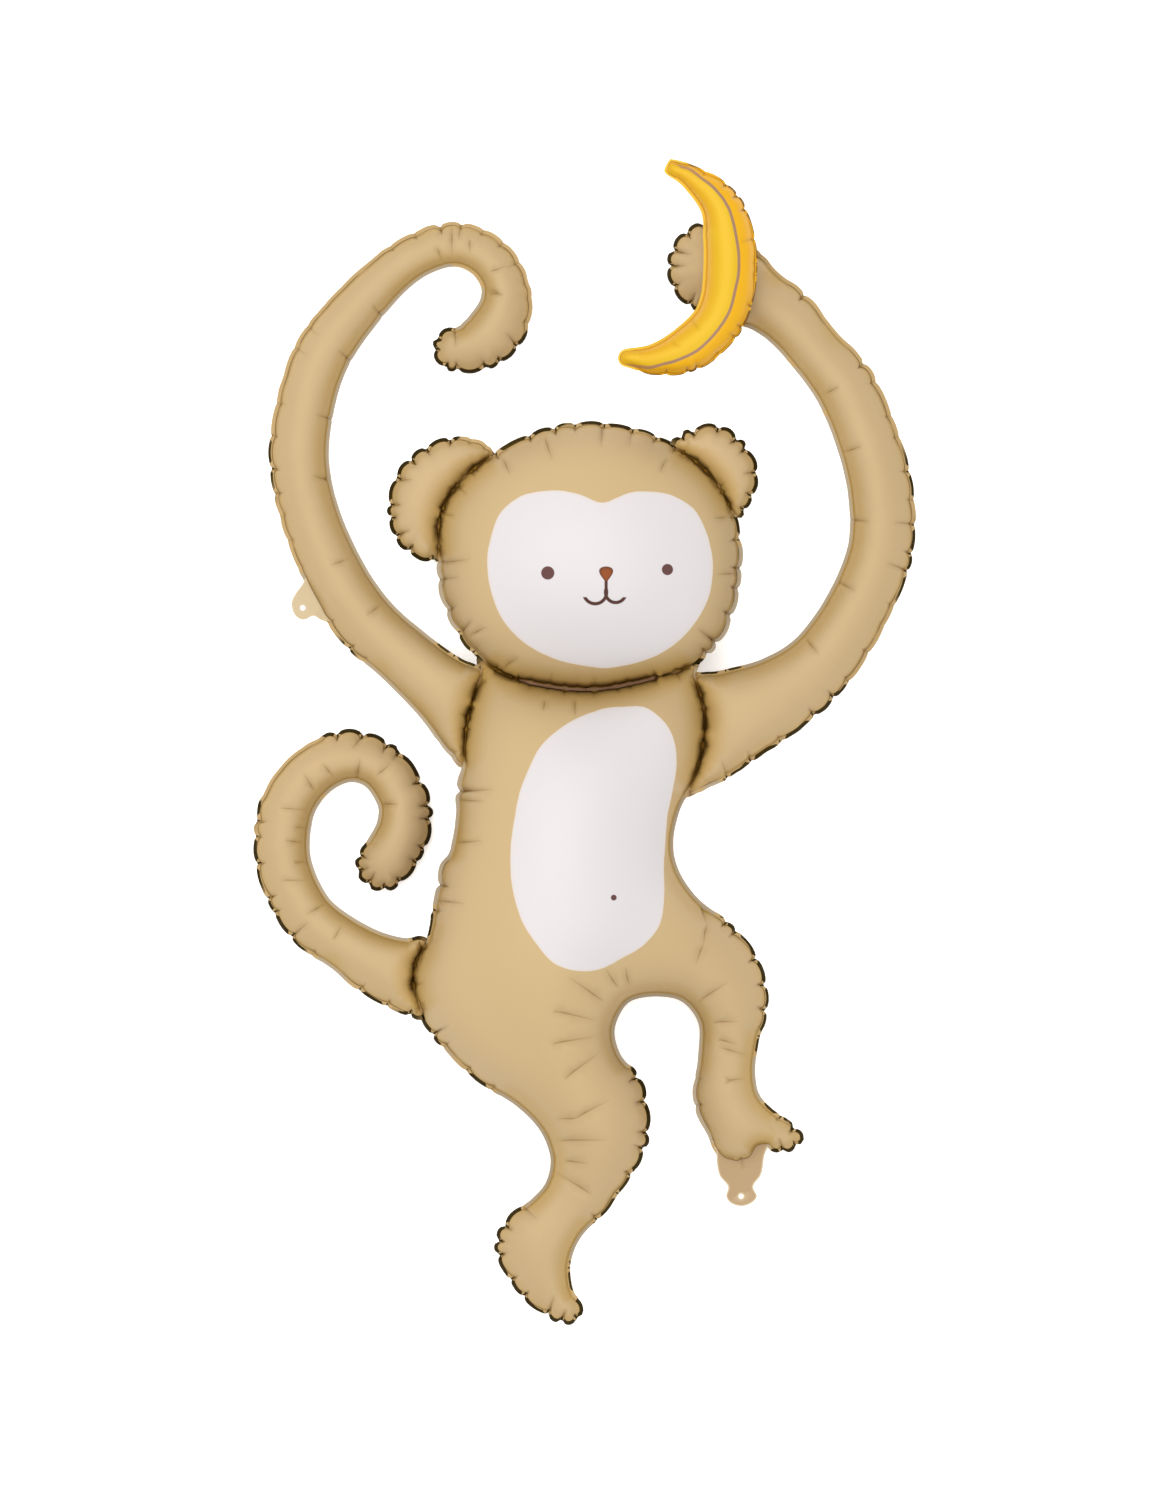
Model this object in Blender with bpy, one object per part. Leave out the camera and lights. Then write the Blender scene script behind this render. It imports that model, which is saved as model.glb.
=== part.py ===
"""A monkey-shaped foil balloon that lies on its back, with a small banana balloon resting on one hand.

Metres, +Z up. The monkey is two films welded together along their edge and along inner lines that part the
head, ears, arms and tail from the body. The pose is drawn in shares of the figure's own height: positions and
half-widths are in drawing units, DRAWN_HEIGHT of them to the height, with x to the right and y downwards.
"""

import math

import bmesh
import bpy
import numpy as np
from mathutils import Vector
from mathutils.geometry import delaunay_2d_cdt

# Driving dimensions
FIGURE_HEIGHT = 1.320  # banana's upper tip to the lower foot's toes
SEAM_WIDTH = 0.006  # flat welded band at the edge and between two lobes
BANANA_SEAM_WIDTH = 0.004
FILM_THICKNESS = 0.0012  # both films together at a weld, thicker than real foil so that the solid holds
TIE_HOLE_RADIUS = 0.003
FLOOR_PRESS = 0.004  # how far the lobes flatten on what they lie on
BANANA_PRESS = 0.003
PIECE_GAP = 0.0003
DROOP = 1.6  # how strongly unsupported lobes bend down to the surface, as a curvature per metre

# How full each kind of lobe is: 1 makes a long tube round
BODY_FULLNESS = 0.86
HEAD_FULLNESS = 0.86
EAR_FULLNESS = 0.88
LIMB_FULLNESS = 0.97

# Fineness of the faceted films
SEAM_STEP = 0.0185
FILM_STEP = 0.0215
SHOULDER_INSET = 0.0045
BANANA_STEP = 0.013
HOLE_STEPS = 8

# The drawing
DRAWN_HEIGHT = 1162.0
DRAWN_MIDDLE = (584.9, 740.5)

# Closed seams of the body, head and ears, as points that a smooth curve passes through
BODY_SEAM = (
    (500, 640), (484, 678), (474, 706), (469, 730), (467, 760), (463, 790), (460, 820), (456, 846),
    (446, 874), (438, 908), (431, 938), (419, 962), (416, 980), (421, 1000), (431, 1024), (447, 1044),
    (480, 1076), (520, 1103), (543, 1127), (553, 1150), (554, 1168), (548, 1186), (536, 1202), (520, 1217),
    (507, 1234), (504, 1250), (512, 1268), (526, 1289), (543, 1303), (563, 1315), (576, 1311), (568, 1286),
    (567, 1260), (578, 1234), (604, 1205),
    (632, 1161), (642, 1128), (636, 1086), (616, 1054), (611, 1026), (626, 999), (655, 992), (684, 998),
    (702, 1022), (702, 1056), (698, 1094), (704, 1116), (720, 1140), (737, 1154), (756, 1141), (780, 1146),
    (797, 1139), (784, 1124), (758, 1100), (751, 1074), (754, 1044), (762, 1004), (756, 966), (730, 930),
    (694, 900), (674, 870), (669, 840), (676, 808), (688, 784), (698, 756), (702, 728), (700, 704), (692, 680),
    (676, 640),
)
HEAD_SEAM = (
    (590, 428), (634, 434), (676, 452), (710, 480), (730, 516), (736, 556), (731, 600), (716, 636), (692, 661),
    (656, 675), (590, 687), (526, 679), (488, 661), (462, 630), (447, 594), (442, 552), (444, 514), (466, 480),
    (502, 454), (544, 435),
)

LEFT_EAR_SEAM = (
    (491, 462), (484, 449), (467, 443), (447, 444), (428, 452), (411, 465), (399, 483), (394, 504), (396, 526),
    (405, 543), (421, 553), (441, 556), (470, 540), (490, 500),
)
RIGHT_EAR_SEAM = (
    (674, 455), (682, 441), (697, 434), (712, 431), (725, 435), (736, 444), (745, 455), (751, 468), (752, 481),
    (749, 493), (742, 505), (732, 514), (705, 505), (682, 480),
)

# Limbs: their middle line's x and y and the half-width there, from the root inside the body to the tip
LEFT_ARM = (
    (500, 735, 46), (471, 711, 41), (438, 685, 31), (402, 654, 27), (367, 622, 27), (337, 578, 26.5),
    (311, 516, 25), (300, 457, 25), (308, 397, 24.5), (325, 351, 24), (359, 306, 21.5), (397, 269, 18.5),
    (431, 250, 17.5), (461, 246, 17.5), (487, 258, 18), (503, 281, 19), (505, 307, 22), (493, 332, 24.5),
    (472, 348, 21), (456, 349, 17),
)
RIGHT_ARM = (
    (660, 745, 54), (700, 729, 52), (738, 714, 43), (781, 693, 35), (820, 662, 30), (855, 611, 28),
    (879, 552, 28), (880, 495, 28), (867, 441, 27), (844, 388, 26), (813, 348, 24), (785, 317, 25),
    (755, 295, 28), (729, 278, 38), (712, 273, 38),
)
TAIL = (
    (450, 980, 38), (420, 977, 35), (385, 967, 29), (348, 946, 23.5), (310, 917, 23), (288, 876, 23),
    (283, 840, 23), (291, 800, 23), (316, 770, 22), (349, 757, 21), (381, 768, 20), (402, 799, 21),
    (403, 828, 22.5), (392, 852, 23), (383, 864, 21),
)
BANANA = (
    (669, 168, 5), (692, 180, 9.5), (720, 206, 17), (731, 239, 20.5), (731, 275, 21.5), (727, 304, 21.5),
    (713, 328, 21.5), (687, 350, 20), (656, 360, 13), (627, 359, 6),
)

# Flat film past the edge, each with a hole: the hanging tab on the arm and the filling tail under the foot
HANGING_TAB = (
    (312, 578), (300, 588), (292, 602), (295, 615), (304, 620), (314, 616), (328, 621), (345, 606),
)
HANGING_TAB_HOLE = (303, 608)
FILLING_TAIL = (
    (716, 1128), (716, 1152), (719, 1174), (728, 1186), (726, 1196), (731, 1203), (741, 1206), (751, 1203),
    (757, 1196), (753, 1186), (761, 1174), (764, 1157), (768, 1130),
)
FILLING_TAIL_HOLE = (741, 1196)

BEIGE = (0.66, 0.47, 0.25, 1.0)
YELLOW = (0.90, 0.55, 0.03, 1.0)

UNIT = FIGURE_HEIGHT / DRAWN_HEIGHT


def placed(drawn):
    """Drawn points, with any half-widths after them, in metres."""
    rows = np.array(drawn, float)
    rows[..., 0] = (rows[..., 0] - DRAWN_MIDDLE[0]) * UNIT
    rows[..., 1] = (DRAWN_MIDDLE[1] - rows[..., 1]) * UNIT
    rows[..., 2:] *= UNIT
    return rows


def even_steps(rows, step, closed):
    """The line through these rows, cut into equal steps of about that length."""
    if closed:
        rows = np.vstack([rows, rows[:1]])
    lengths = np.hypot(*np.diff(rows[:, :2], axis=0).T)
    along = np.concatenate([[0.0], np.cumsum(lengths)])
    count = max(3, round(along[-1] / step))
    wanted = np.linspace(0.0, along[-1], count + 1)
    if closed:
        wanted = wanted[:-1]
    return np.column_stack([np.interp(wanted, along, column) for column in rows.T])


def smooth_line(rows, step, closed):
    """A smooth curve through the rows, in even steps."""
    if closed:
        padded = np.vstack([rows[-1:], rows, rows[:2]])
    else:
        padded = np.vstack([2 * rows[:1] - rows[1:2], rows, 2 * rows[-1:] - rows[-2:-1]])
    share = np.linspace(0.0, 1.0, 12, endpoint=False)[:, None]
    pieces = []
    for a, b, c, d in zip(padded, padded[1:], padded[2:], padded[3:]):
        bend = 2 * a - 5 * b + 4 * c - d
        twist = 3 * b - a - 3 * c + d
        pieces.append(b + ((c - a) * share + bend * share**2 + twist * share**3) / 2)
    if not closed:
        pieces.append(rows[-1:])
    return even_steps(np.vstack(pieces), step, closed)


def limb_seam(stations, step):
    """The closed seam of a limb: both sides of its middle line and a round tip."""
    rows = smooth_line(placed(stations), step / 3, closed=False)
    middle, half = rows[:, :2], rows[:, 2:]
    along = np.gradient(middle, axis=0)
    along /= np.linalg.norm(along, axis=1)[:, None]
    side = np.column_stack([-along[:, 1], along[:, 0]])
    turns = np.linspace(math.pi / 2, -math.pi / 2, 9)[1:-1, None]
    tip = middle[-1] + half[-1] * (side[-1] * np.sin(turns) + along[-1] * np.cos(turns))
    outline = np.vstack([middle + side * half, tip, (middle - side * half)[::-1]])
    return even_steps(outline, step, closed=True)


def hole_outline(centre):
    turns = np.linspace(0.0, 2 * math.pi, HOLE_STEPS, endpoint=False)
    return placed(centre) + TIE_HOLE_RADIUS * np.column_stack([np.cos(turns), np.sin(turns)])


def grown(outline, distance):
    """The closed outline moved outwards by a distance, or inwards by a negative one."""
    across = np.roll(outline, -1, axis=0) - np.roll(outline, 1, axis=0)
    normal = np.column_stack([across[:, 1], -across[:, 0]])
    normal /= np.linalg.norm(normal, axis=1)[:, None]
    x, y = outline.T
    turning = np.sum(x * np.roll(y, -1) - np.roll(x, -1) * y)
    return outline + normal * distance * math.copysign(1.0, turning)


def inside(points, outline):
    """Which of the points lie inside a closed outline."""
    x, y = points[:, :1], points[:, 1:2]
    x0, y0 = outline.T
    x1, y1 = np.roll(outline, -1, axis=0).T
    crossing = (y0 > y) != (y1 > y)
    rise = np.where(y1 == y0, 1.0, y1 - y0)
    left_of = x < (x1 - x0) * (y - y0) / rise + x0
    return (crossing & left_of).sum(axis=1) % 2 == 1


def clear_of(points, others, distance):
    """Which of the points are further than a distance from all the others."""
    squares = ((points[:, None] - others[None]) ** 2).sum(axis=2)
    return squares.min(axis=1) > distance**2


class Pattern:
    """The welded pattern in plan: lobes in order of precedence, flat film and holes."""

    def __init__(self, step, seam_width):
        self.step = step
        self.seam_width = seam_width
        self.seams = []
        self.edges = []
        self.fullness = []
        self.flats = []
        self.holes = []

    def add_lobe(self, seam, fullness):
        """An air-filled lobe. Earlier lobes, with their welded bands, cut into it."""
        self.seams.append(seam)
        self.edges.append(grown(seam, self.seam_width))
        self.fullness.append(fullness)

    def lobe_of(self, points):
        """The number of the lobe that each point is in, or -1 on flat film."""
        found = np.full(len(points), -1)
        free = np.ones(len(points), bool)
        for index, (seam, edge) in enumerate(zip(self.seams, self.edges)):
            found[free & inside(points, seam)] = index
            free &= ~inside(points, edge)
        return found

    def is_film(self, points):
        found = np.zeros(len(points), bool)
        for outline in [*self.edges, *self.flats]:
            found |= inside(points, outline)
        for outline in self.holes:
            found &= ~inside(points, outline)
        return found

    def cut(self, points, order):
        """Which of the points an earlier lobe takes from lobe number order."""
        found = np.zeros(len(points), bool)
        for edge in self.edges[:order]:
            found |= inside(points, edge)
        return found

    def welded_lines(self):
        """The end points of every straight piece of the pattern's lines, cut where an earlier lobe begins."""
        runs = []
        for order, (seam, edge) in enumerate(zip(self.seams, self.edges)):
            runs += [(seam, order), (edge, order)]
        runs += [(outline, 0) for outline in [*self.flats, *self.holes]]
        starts, ends = [], []
        for outline, order in runs:
            a, b = outline, np.roll(outline, -1, axis=0)
            a_cut, b_cut = self.cut(a, order), self.cut(b, order)
            for _ in range(14):
                middle = (a + b) / 2
                halfway = self.cut(middle, order)
                keep_a = (a_cut != b_cut)[:, None] & (halfway == a_cut)[:, None]
                keep_b = (a_cut != b_cut)[:, None] & (halfway == b_cut)[:, None]
                a, b = np.where(keep_a, middle, a), np.where(keep_b, middle, b)
            crossing = (a + b) / 2
            mixed = (a_cut != b_cut)[:, None]
            first = np.where(mixed & a_cut[:, None], crossing, outline)
            last = np.where(mixed & b_cut[:, None], crossing, np.roll(outline, -1, axis=0))
            shown = ~(a_cut & b_cut)
            starts.append(first[shown])
            ends.append(last[shown])
        return np.vstack(starts), np.vstack(ends)

    def shoulder_points(self, on_lines):
        """Points just inside each seam, where the film rises steeply."""
        found = []
        for index, seam in enumerate(self.seams):
            inner = grown(seam, -SHOULDER_INSET)
            outer = grown(seam, self.seam_width + SHOULDER_INSET)
            found.append(inner[self.lobe_of(inner) == index])
            found.append(outer[self.lobe_of(outer) > index])
        found = np.vstack(found)
        return found[clear_of(found, on_lines, 0.8 * SHOULDER_INSET)]

    def field_points(self, others):
        """An even field of points over the lobes, clear of the others."""
        low, high = others.min(axis=0), others.max(axis=0)
        row_height = self.step * math.sqrt(3) / 2
        rows = []
        for k in range(int((high[1] - low[1]) / row_height) + 1):
            xs = np.arange(low[0] + self.step / 2 * (k % 2), high[0], self.step)
            rows.append(np.column_stack([xs, np.full(len(xs), low[1] + k * row_height)]))
        field = np.vstack(rows)
        field = field[self.lobe_of(field) >= 0]
        return field[clear_of(field, others, 0.6 * self.step)]

    def triangulated(self):
        """The plan points and triangles of the whole pattern."""
        starts, ends = self.welded_lines()
        on_lines = np.vstack([starts, ends])
        shoulders = self.shoulder_points(on_lines)
        field = self.field_points(np.vstack([on_lines, shoulders]))
        vectors = [Vector(p) for p in np.vstack([on_lines, shoulders, field])]
        edges = [(k, k + len(starts)) for k in range(len(starts))]
        made = delaunay_2d_cdt(vectors, edges, [], 0, self.seam_width / 12, False)
        points = np.array([tuple(v) for v in made[0]])
        triangles = np.array([f for f in made[2] if len(f) == 3])
        triangles = triangles[self.is_film(points[triangles].mean(axis=1))]
        used, renumbered = np.unique(triangles, return_inverse=True)
        return points[used], renumbered.reshape(-1, 3)


def stiffness(points, triangles):
    """A membrane's stiffness matrix over the plan triangles, and each point's share of the area."""
    pull = np.zeros((len(points), len(points)))
    area = np.zeros(len(points))
    for corners in triangles:
        a, b, c = points[corners]
        twice = abs((b[0] - a[0]) * (c[1] - a[1]) - (b[1] - a[1]) * (c[0] - a[0]))
        sides = np.array([c - b, a - c, b - a])
        pull[np.ix_(corners, corners)] += sides @ sides.T / (2 * twice)
        area[corners] += twice / 6
    return pull, area


def rim_edges(triangles):
    """The directed edges that bound the pattern, holes included."""
    directed = {tuple(e) for t in triangles for e in ((t[0], t[1]), (t[1], t[2]), (t[2], t[0]))}
    return [e for e in directed if (e[1], e[0]) not in directed]


def puffed(pattern, points, triangles):
    """How far the film stands off the weld plane at each point.

    It is the root of a membrane's sag under even air pressure, which makes a long tube round and a disc flatter.
    """
    lobe = pattern.lobe_of(points[triangles].mean(axis=1))
    fixed = np.zeros(len(points), bool)
    fixed[triangles[lobe < 0].ravel()] = True
    fixed[[k for edge in rim_edges(triangles) for k in edge]] = True
    pull, area = stiffness(points, triangles[lobe >= 0])
    free = np.flatnonzero(~fixed)
    sag = np.zeros(len(points))
    sag[free] = np.linalg.solve(pull[np.ix_(free, free)], area[free])
    fullness = np.zeros(len(points))
    for index, value in enumerate(pattern.fullness):
        fullness[np.unique(triangles[lobe == index])] = value
    return fullness * np.sqrt(2 * np.maximum(sag, 0.0))


def settled(points, triangles, depth):
    """The height of the weld plane once the balloon lies on a flat surface at zero and bends down to it."""
    pull, area = stiffness(points, triangles)
    floor = depth - FLOOR_PRESS
    height = floor.copy()
    touching = np.ones(len(points), bool)
    for _ in range(40):
        push = pull @ height + DROOP * area
        pressed = push + (floor - height) > 0
        if (pressed == touching).all():
            break
        touching = pressed
        free = np.flatnonzero(~touching)
        height = floor.copy()
        load = -DROOP * area[free] - pull[np.ix_(free, np.flatnonzero(touching))] @ floor[touching]
        height[free] = np.linalg.solve(pull[np.ix_(free, free)], load)
    return height


def levelled(pattern, points, triangles, height):
    """The same heights with each flat tab level."""
    on_air = np.zeros(len(points), bool)
    on_air[triangles[pattern.lobe_of(points[triangles].mean(axis=1)) >= 0].ravel()] = True
    height = height.copy()
    for outline in pattern.flats:
        part = inside(points, grown(outline, SEAM_WIDTH / 6)) & ~on_air
        height[part] = height[part].mean()
    return height


def film_object(name, points, triangles, upper, lower, colour, roughness):
    """A closed solid between an upper and a lower height over the flat pattern."""
    bm = bmesh.new()
    tops = [bm.verts.new((*p, z)) for p, z in zip(points, upper)]
    bottoms = [bm.verts.new((*p, z)) for p, z in zip(points, lower)]
    for a, b, c in triangles:
        bm.faces.new((tops[a], tops[b], tops[c]))
        bm.faces.new((bottoms[c], bottoms[b], bottoms[a]))
    for a, b in rim_edges(triangles):
        bm.faces.new((tops[b], tops[a], bottoms[a]))
        bm.faces.new((tops[b], bottoms[a], bottoms[b]))
    bmesh.ops.recalc_face_normals(bm, faces=bm.faces)
    mesh = bpy.data.meshes.new(name)
    bm.to_mesh(mesh)
    bm.free()
    mesh.shade_smooth()
    mesh.set_sharp_from_angle(angle=math.radians(60))
    mesh.materials.append(foil_material(name, colour, roughness))
    made = bpy.data.objects.new(name, mesh)
    bpy.context.scene.collection.objects.link(made)
    return made


def foil_material(name, colour, roughness):
    material = bpy.data.materials.new(name)
    material.use_nodes = True
    shader = material.node_tree.nodes["Principled BSDF"]
    shader.inputs["Base Color"].default_value = colour
    shader.inputs["Metallic"].default_value = 0.5
    shader.inputs["Roughness"].default_value = roughness
    return material


def monkey_pattern():
    pattern = Pattern(FILM_STEP, SEAM_WIDTH)
    pattern.add_lobe(smooth_line(placed(HEAD_SEAM), SEAM_STEP, closed=True), HEAD_FULLNESS)
    pattern.add_lobe(smooth_line(placed(BODY_SEAM), SEAM_STEP, closed=True), BODY_FULLNESS)
    for ear in (LEFT_EAR_SEAM, RIGHT_EAR_SEAM):
        pattern.add_lobe(smooth_line(placed(ear), SEAM_STEP, closed=True), EAR_FULLNESS)
    for limb in (LEFT_ARM, RIGHT_ARM, TAIL):
        pattern.add_lobe(limb_seam(limb, SEAM_STEP), LIMB_FULLNESS)
    for outline in (HANGING_TAB, FILLING_TAIL):
        pattern.flats.append(smooth_line(placed(outline), SEAM_STEP / 2, closed=True))
    pattern.holes += [hole_outline(HANGING_TAB_HOLE), hole_outline(FILLING_TAIL_HOLE)]
    return pattern


def banana_pattern():
    pattern = Pattern(BANANA_STEP, BANANA_SEAM_WIDTH)
    pattern.add_lobe(limb_seam(BANANA, BANANA_STEP), LIMB_FULLNESS)
    return pattern


def build():
    for old in list(bpy.data.objects):
        bpy.data.objects.remove(old)

    monkey = monkey_pattern()
    points, triangles = monkey.triangulated()
    depth = puffed(monkey, points, triangles) + FILM_THICKNESS / 2
    plane = levelled(monkey, points, triangles, settled(points, triangles, depth))
    upper, lower = plane + depth, np.maximum(plane - depth, 0.0)

    # The hand and the banana flatten on each other
    banana = banana_pattern()
    banana_points, banana_triangles = banana.triangulated()
    banana_depth = puffed(banana, banana_points, banana_triangles) + FILM_THICKNESS / 2
    under_banana = inside(points, grown(banana.edges[0], FILM_STEP))
    contact = upper[under_banana].max() - BANANA_PRESS
    upper[under_banana] = np.minimum(upper[under_banana], contact)
    underside = contact + PIECE_GAP
    banana_plane = underside + banana_depth.max() - BANANA_PRESS
    banana_lower = np.maximum(banana_plane - banana_depth, underside)

    film_object("monkey_balloon", points, triangles, upper, lower, BEIGE, 0.42)
    film_object(
        "banana_balloon", banana_points, banana_triangles, banana_plane + banana_depth, banana_lower, YELLOW, 0.35
    )


build()
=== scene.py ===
import math
from functools import partial

import bpy
import numpy as np
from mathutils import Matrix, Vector
from mathutils.bvhtree import BVHTree
from mathutils.geometry import delaunay_2d_cdt
from mathutils.kdtree import KDTree


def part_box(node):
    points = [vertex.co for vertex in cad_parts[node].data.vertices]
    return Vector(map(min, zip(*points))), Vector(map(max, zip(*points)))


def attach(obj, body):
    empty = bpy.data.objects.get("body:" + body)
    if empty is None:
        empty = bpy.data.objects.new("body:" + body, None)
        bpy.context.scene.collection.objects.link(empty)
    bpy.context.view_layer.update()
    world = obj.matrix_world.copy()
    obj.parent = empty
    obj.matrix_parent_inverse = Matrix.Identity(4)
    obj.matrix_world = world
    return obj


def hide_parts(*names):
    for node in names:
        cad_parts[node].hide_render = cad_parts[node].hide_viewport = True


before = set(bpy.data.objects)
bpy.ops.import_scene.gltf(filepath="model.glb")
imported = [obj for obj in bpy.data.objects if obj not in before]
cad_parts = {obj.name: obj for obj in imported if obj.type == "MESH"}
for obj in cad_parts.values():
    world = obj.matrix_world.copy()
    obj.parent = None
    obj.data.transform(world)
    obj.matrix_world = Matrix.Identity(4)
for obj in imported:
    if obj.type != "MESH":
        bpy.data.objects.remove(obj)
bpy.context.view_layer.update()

# The figure is drawn in the photograph's pixels, with x to the right and y downwards
figure = {
    "height": 1.320,  # banana's upper tip to the lower foot's toes, in metres
    "drawnHeight": 1162.0,
    "drawnMiddle": (584.9, 740.5),
    "seed": 11,
}
unit = figure["height"] / figure["drawnHeight"]


# Lines in the plan

def placed(drawn):
    # drawn points, with any half-widths after them, in metres
    rows = np.array(drawn, float)
    rows[..., 0] = (rows[..., 0] - figure["drawnMiddle"][0]) * unit
    rows[..., 1] = (figure["drawnMiddle"][1] - rows[..., 1]) * unit
    rows[..., 2:] *= unit
    return rows


def evenSteps(rows, step, closed):
    if closed:
        rows = np.vstack([rows, rows[:1]])
    along = np.concatenate([[0.0], np.cumsum(np.hypot(*np.diff(rows[:, :2], axis=0).T))])
    wanted = np.linspace(0.0, along[-1], max(3, round(along[-1] / step)) + 1)
    if closed:
        wanted = wanted[:-1]
    return np.column_stack([np.interp(wanted, along, column) for column in rows.T])


def smoothLine(rows, step, closed):
    if closed:
        padded = np.vstack([rows[-1:], rows, rows[:2]])
    else:
        padded = np.vstack([2 * rows[:1] - rows[1:2], rows, 2 * rows[-1:] - rows[-2:-1]])
    share = np.linspace(0.0, 1.0, 24, endpoint=False)[:, None]
    pieces = []
    for a, b, c, d in zip(padded, padded[1:], padded[2:], padded[3:]):
        bend = 2 * a - 5 * b + 4 * c - d
        twist = 3 * b - a - 3 * c + d
        pieces.append(b + ((c - a) * share + bend * share**2 + twist * share**3) / 2)
    if not closed:
        pieces.append(rows[-1:])
    return evenSteps(np.vstack(pieces), step, closed)


def limbSeam(stations, step):
    # both sides of a limb's middle line, and its round tip
    rows = smoothLine(placed(stations), step, closed=False)
    middle, half = rows[:, :2], rows[:, 2:]
    along = np.gradient(middle, axis=0)
    along /= np.linalg.norm(along, axis=1)[:, None]
    side = np.column_stack([-along[:, 1], along[:, 0]])
    turns = np.linspace(math.pi / 2, -math.pi / 2, 33)[1:-1, None]
    tip = middle[-1] + half[-1] * (side[-1] * np.sin(turns) + along[-1] * np.cos(turns))
    outline = np.vstack([middle + side * half, tip, (middle - side * half)[::-1]])
    return evenSteps(outline, step, closed=True)


def holeOutline(centre, radius):
    turns = np.linspace(0.0, 2 * math.pi, 20, endpoint=False)
    return placed(centre) + radius * np.column_stack([np.cos(turns), np.sin(turns)])


def normalsOut(outline):
    across = np.roll(outline, -1, axis=0) - np.roll(outline, 1, axis=0)
    normal = np.column_stack([across[:, 1], -across[:, 0]])
    normal /= np.maximum(np.linalg.norm(normal, axis=1), 1e-12)[:, None]
    x, y = outline.T
    turning = np.sum(x * np.roll(y, -1) - np.roll(x, -1) * y)
    return normal * math.copysign(1.0, turning)


def grown(outline, distance):
    return outline + normalsOut(outline) * distance


def insideOf(points, outline):
    # only the points in the outline's own box are tested
    found = np.zeros(len(points), bool)
    boxed = np.flatnonzero(((points > outline.min(axis=0)) & (points < outline.max(axis=0))).all(axis=1))
    x0, y0 = outline.T
    x1, y1 = np.roll(outline, -1, axis=0).T
    rise = np.where(y1 == y0, 1.0, y1 - y0)
    for some in np.array_split(boxed, max(1, len(boxed) // 4000)):
        x, y = points[some, :1], points[some, 1:2]
        leftOf = x < (x1 - x0) * (y - y0) / rise + x0
        found[some] = ((((y0 > y) != (y1 > y)) & leftOf).sum(axis=1) % 2) == 1
    return found


def lineTree(points):
    tree = KDTree(len(points))
    for k, (x, y) in enumerate(points):
        tree.insert((x, y, 0.0), k)
    tree.balance()
    return tree


def nearest(points, tree):
    found = [tree.find((x, y, 0.0))[1:] for x, y in points]
    return np.array([f[0] for f in found], int), np.array([f[1] for f in found], float)


def nearSpot(points, x, y, radius):
    # which points lie inside a drawn circle
    return np.hypot(*(points - placed((x, y))).T) < radius * unit


# The welded pattern: lobes in order of precedence, flat film, holes, and gates that let the air through

def newPattern(seamWidth, flats=(), holes=(), gates=()):
    return {"seamWidth": seamWidth, "seams": [], "edges": [], "fullness": [],
            "flats": flats, "holes": holes, "gates": gates}


def addLobe(pattern, seam, fullness):
    pattern["seams"].append(seam)
    pattern["edges"].append(grown(seam, pattern["seamWidth"]))
    pattern["fullness"].append(fullness)


def lobeOf(pattern, points):
    # the lobe that each point is in, or -1 on flat film
    found = np.full(len(points), -1)
    free = np.ones(len(points), bool)
    for index, (seam, edge) in enumerate(zip(pattern["seams"], pattern["edges"])):
        found[free & insideOf(points, seam)] = index
        free &= ~insideOf(points, edge)
    return found


def isFilm(pattern, points):
    found = np.zeros(len(points), bool)
    for outline in [*pattern["edges"], *pattern["flats"]]:
        found |= insideOf(points, outline)
    for outline in pattern["holes"]:
        found &= ~insideOf(points, outline)
    return found


def takenBefore(pattern, points, order):
    found = np.zeros(len(points), bool)
    for edge in pattern["edges"][:order]:
        found |= insideOf(points, edge)
    return found


def weldedLines(pattern):
    # the ends of every straight piece of the pattern's lines, cut where an earlier lobe begins
    runs = []
    for order, (seam, edge) in enumerate(zip(pattern["seams"], pattern["edges"])):
        runs += [(seam, order), (edge, order)]
    runs += [(outline, 0) for outline in [*pattern["flats"], *pattern["holes"]]]
    starts, ends = [], []
    for outline, order in runs:
        following = np.roll(outline, -1, axis=0)
        aCut, bCut = takenBefore(pattern, outline, order), takenBefore(pattern, following, order)
        first, last = outline.copy(), following.copy()
        mixed = np.flatnonzero(aCut != bCut)
        a, b = outline[mixed], following[mixed]
        for _ in range(12):
            middle = (a + b) / 2
            halfway = takenBefore(pattern, middle, order) == aCut[mixed]
            a, b = np.where(halfway[:, None], middle, a), np.where(halfway[:, None], b, middle)
        crossing = (a + b) / 2
        first[mixed[aCut[mixed]]] = crossing[aCut[mixed]]
        last[mixed[bCut[mixed]]] = crossing[bCut[mixed]]
        shown = ~(aCut & bCut)
        starts.append(first[shown])
        ends.append(last[shown])
    return np.vstack(starts), np.vstack(ends)


def triangulated(pattern, starts, ends, others):
    # plan points and triangles of the pattern, with the lobe of each triangle
    edges = [(k, k + len(starts)) for k in range(len(starts))]
    vectors = [Vector(p) for p in np.vstack([starts, ends, others])]
    mergeWithin = 0.0004
    made = delaunay_2d_cdt(vectors, edges, [], 0, mergeWithin, False)
    points = np.array([tuple(v) for v in made[0]])
    triangles = np.array([f for f in made[2] if len(f) == 3])
    triangles = triangles[isFilm(pattern, points[triangles].mean(axis=1))]
    used, renumbered = np.unique(triangles, return_inverse=True)
    triangles = renumbered.reshape(-1, 3)
    points = points[used]
    return points, triangles, lobeOf(pattern, points[triangles].mean(axis=1))


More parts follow.
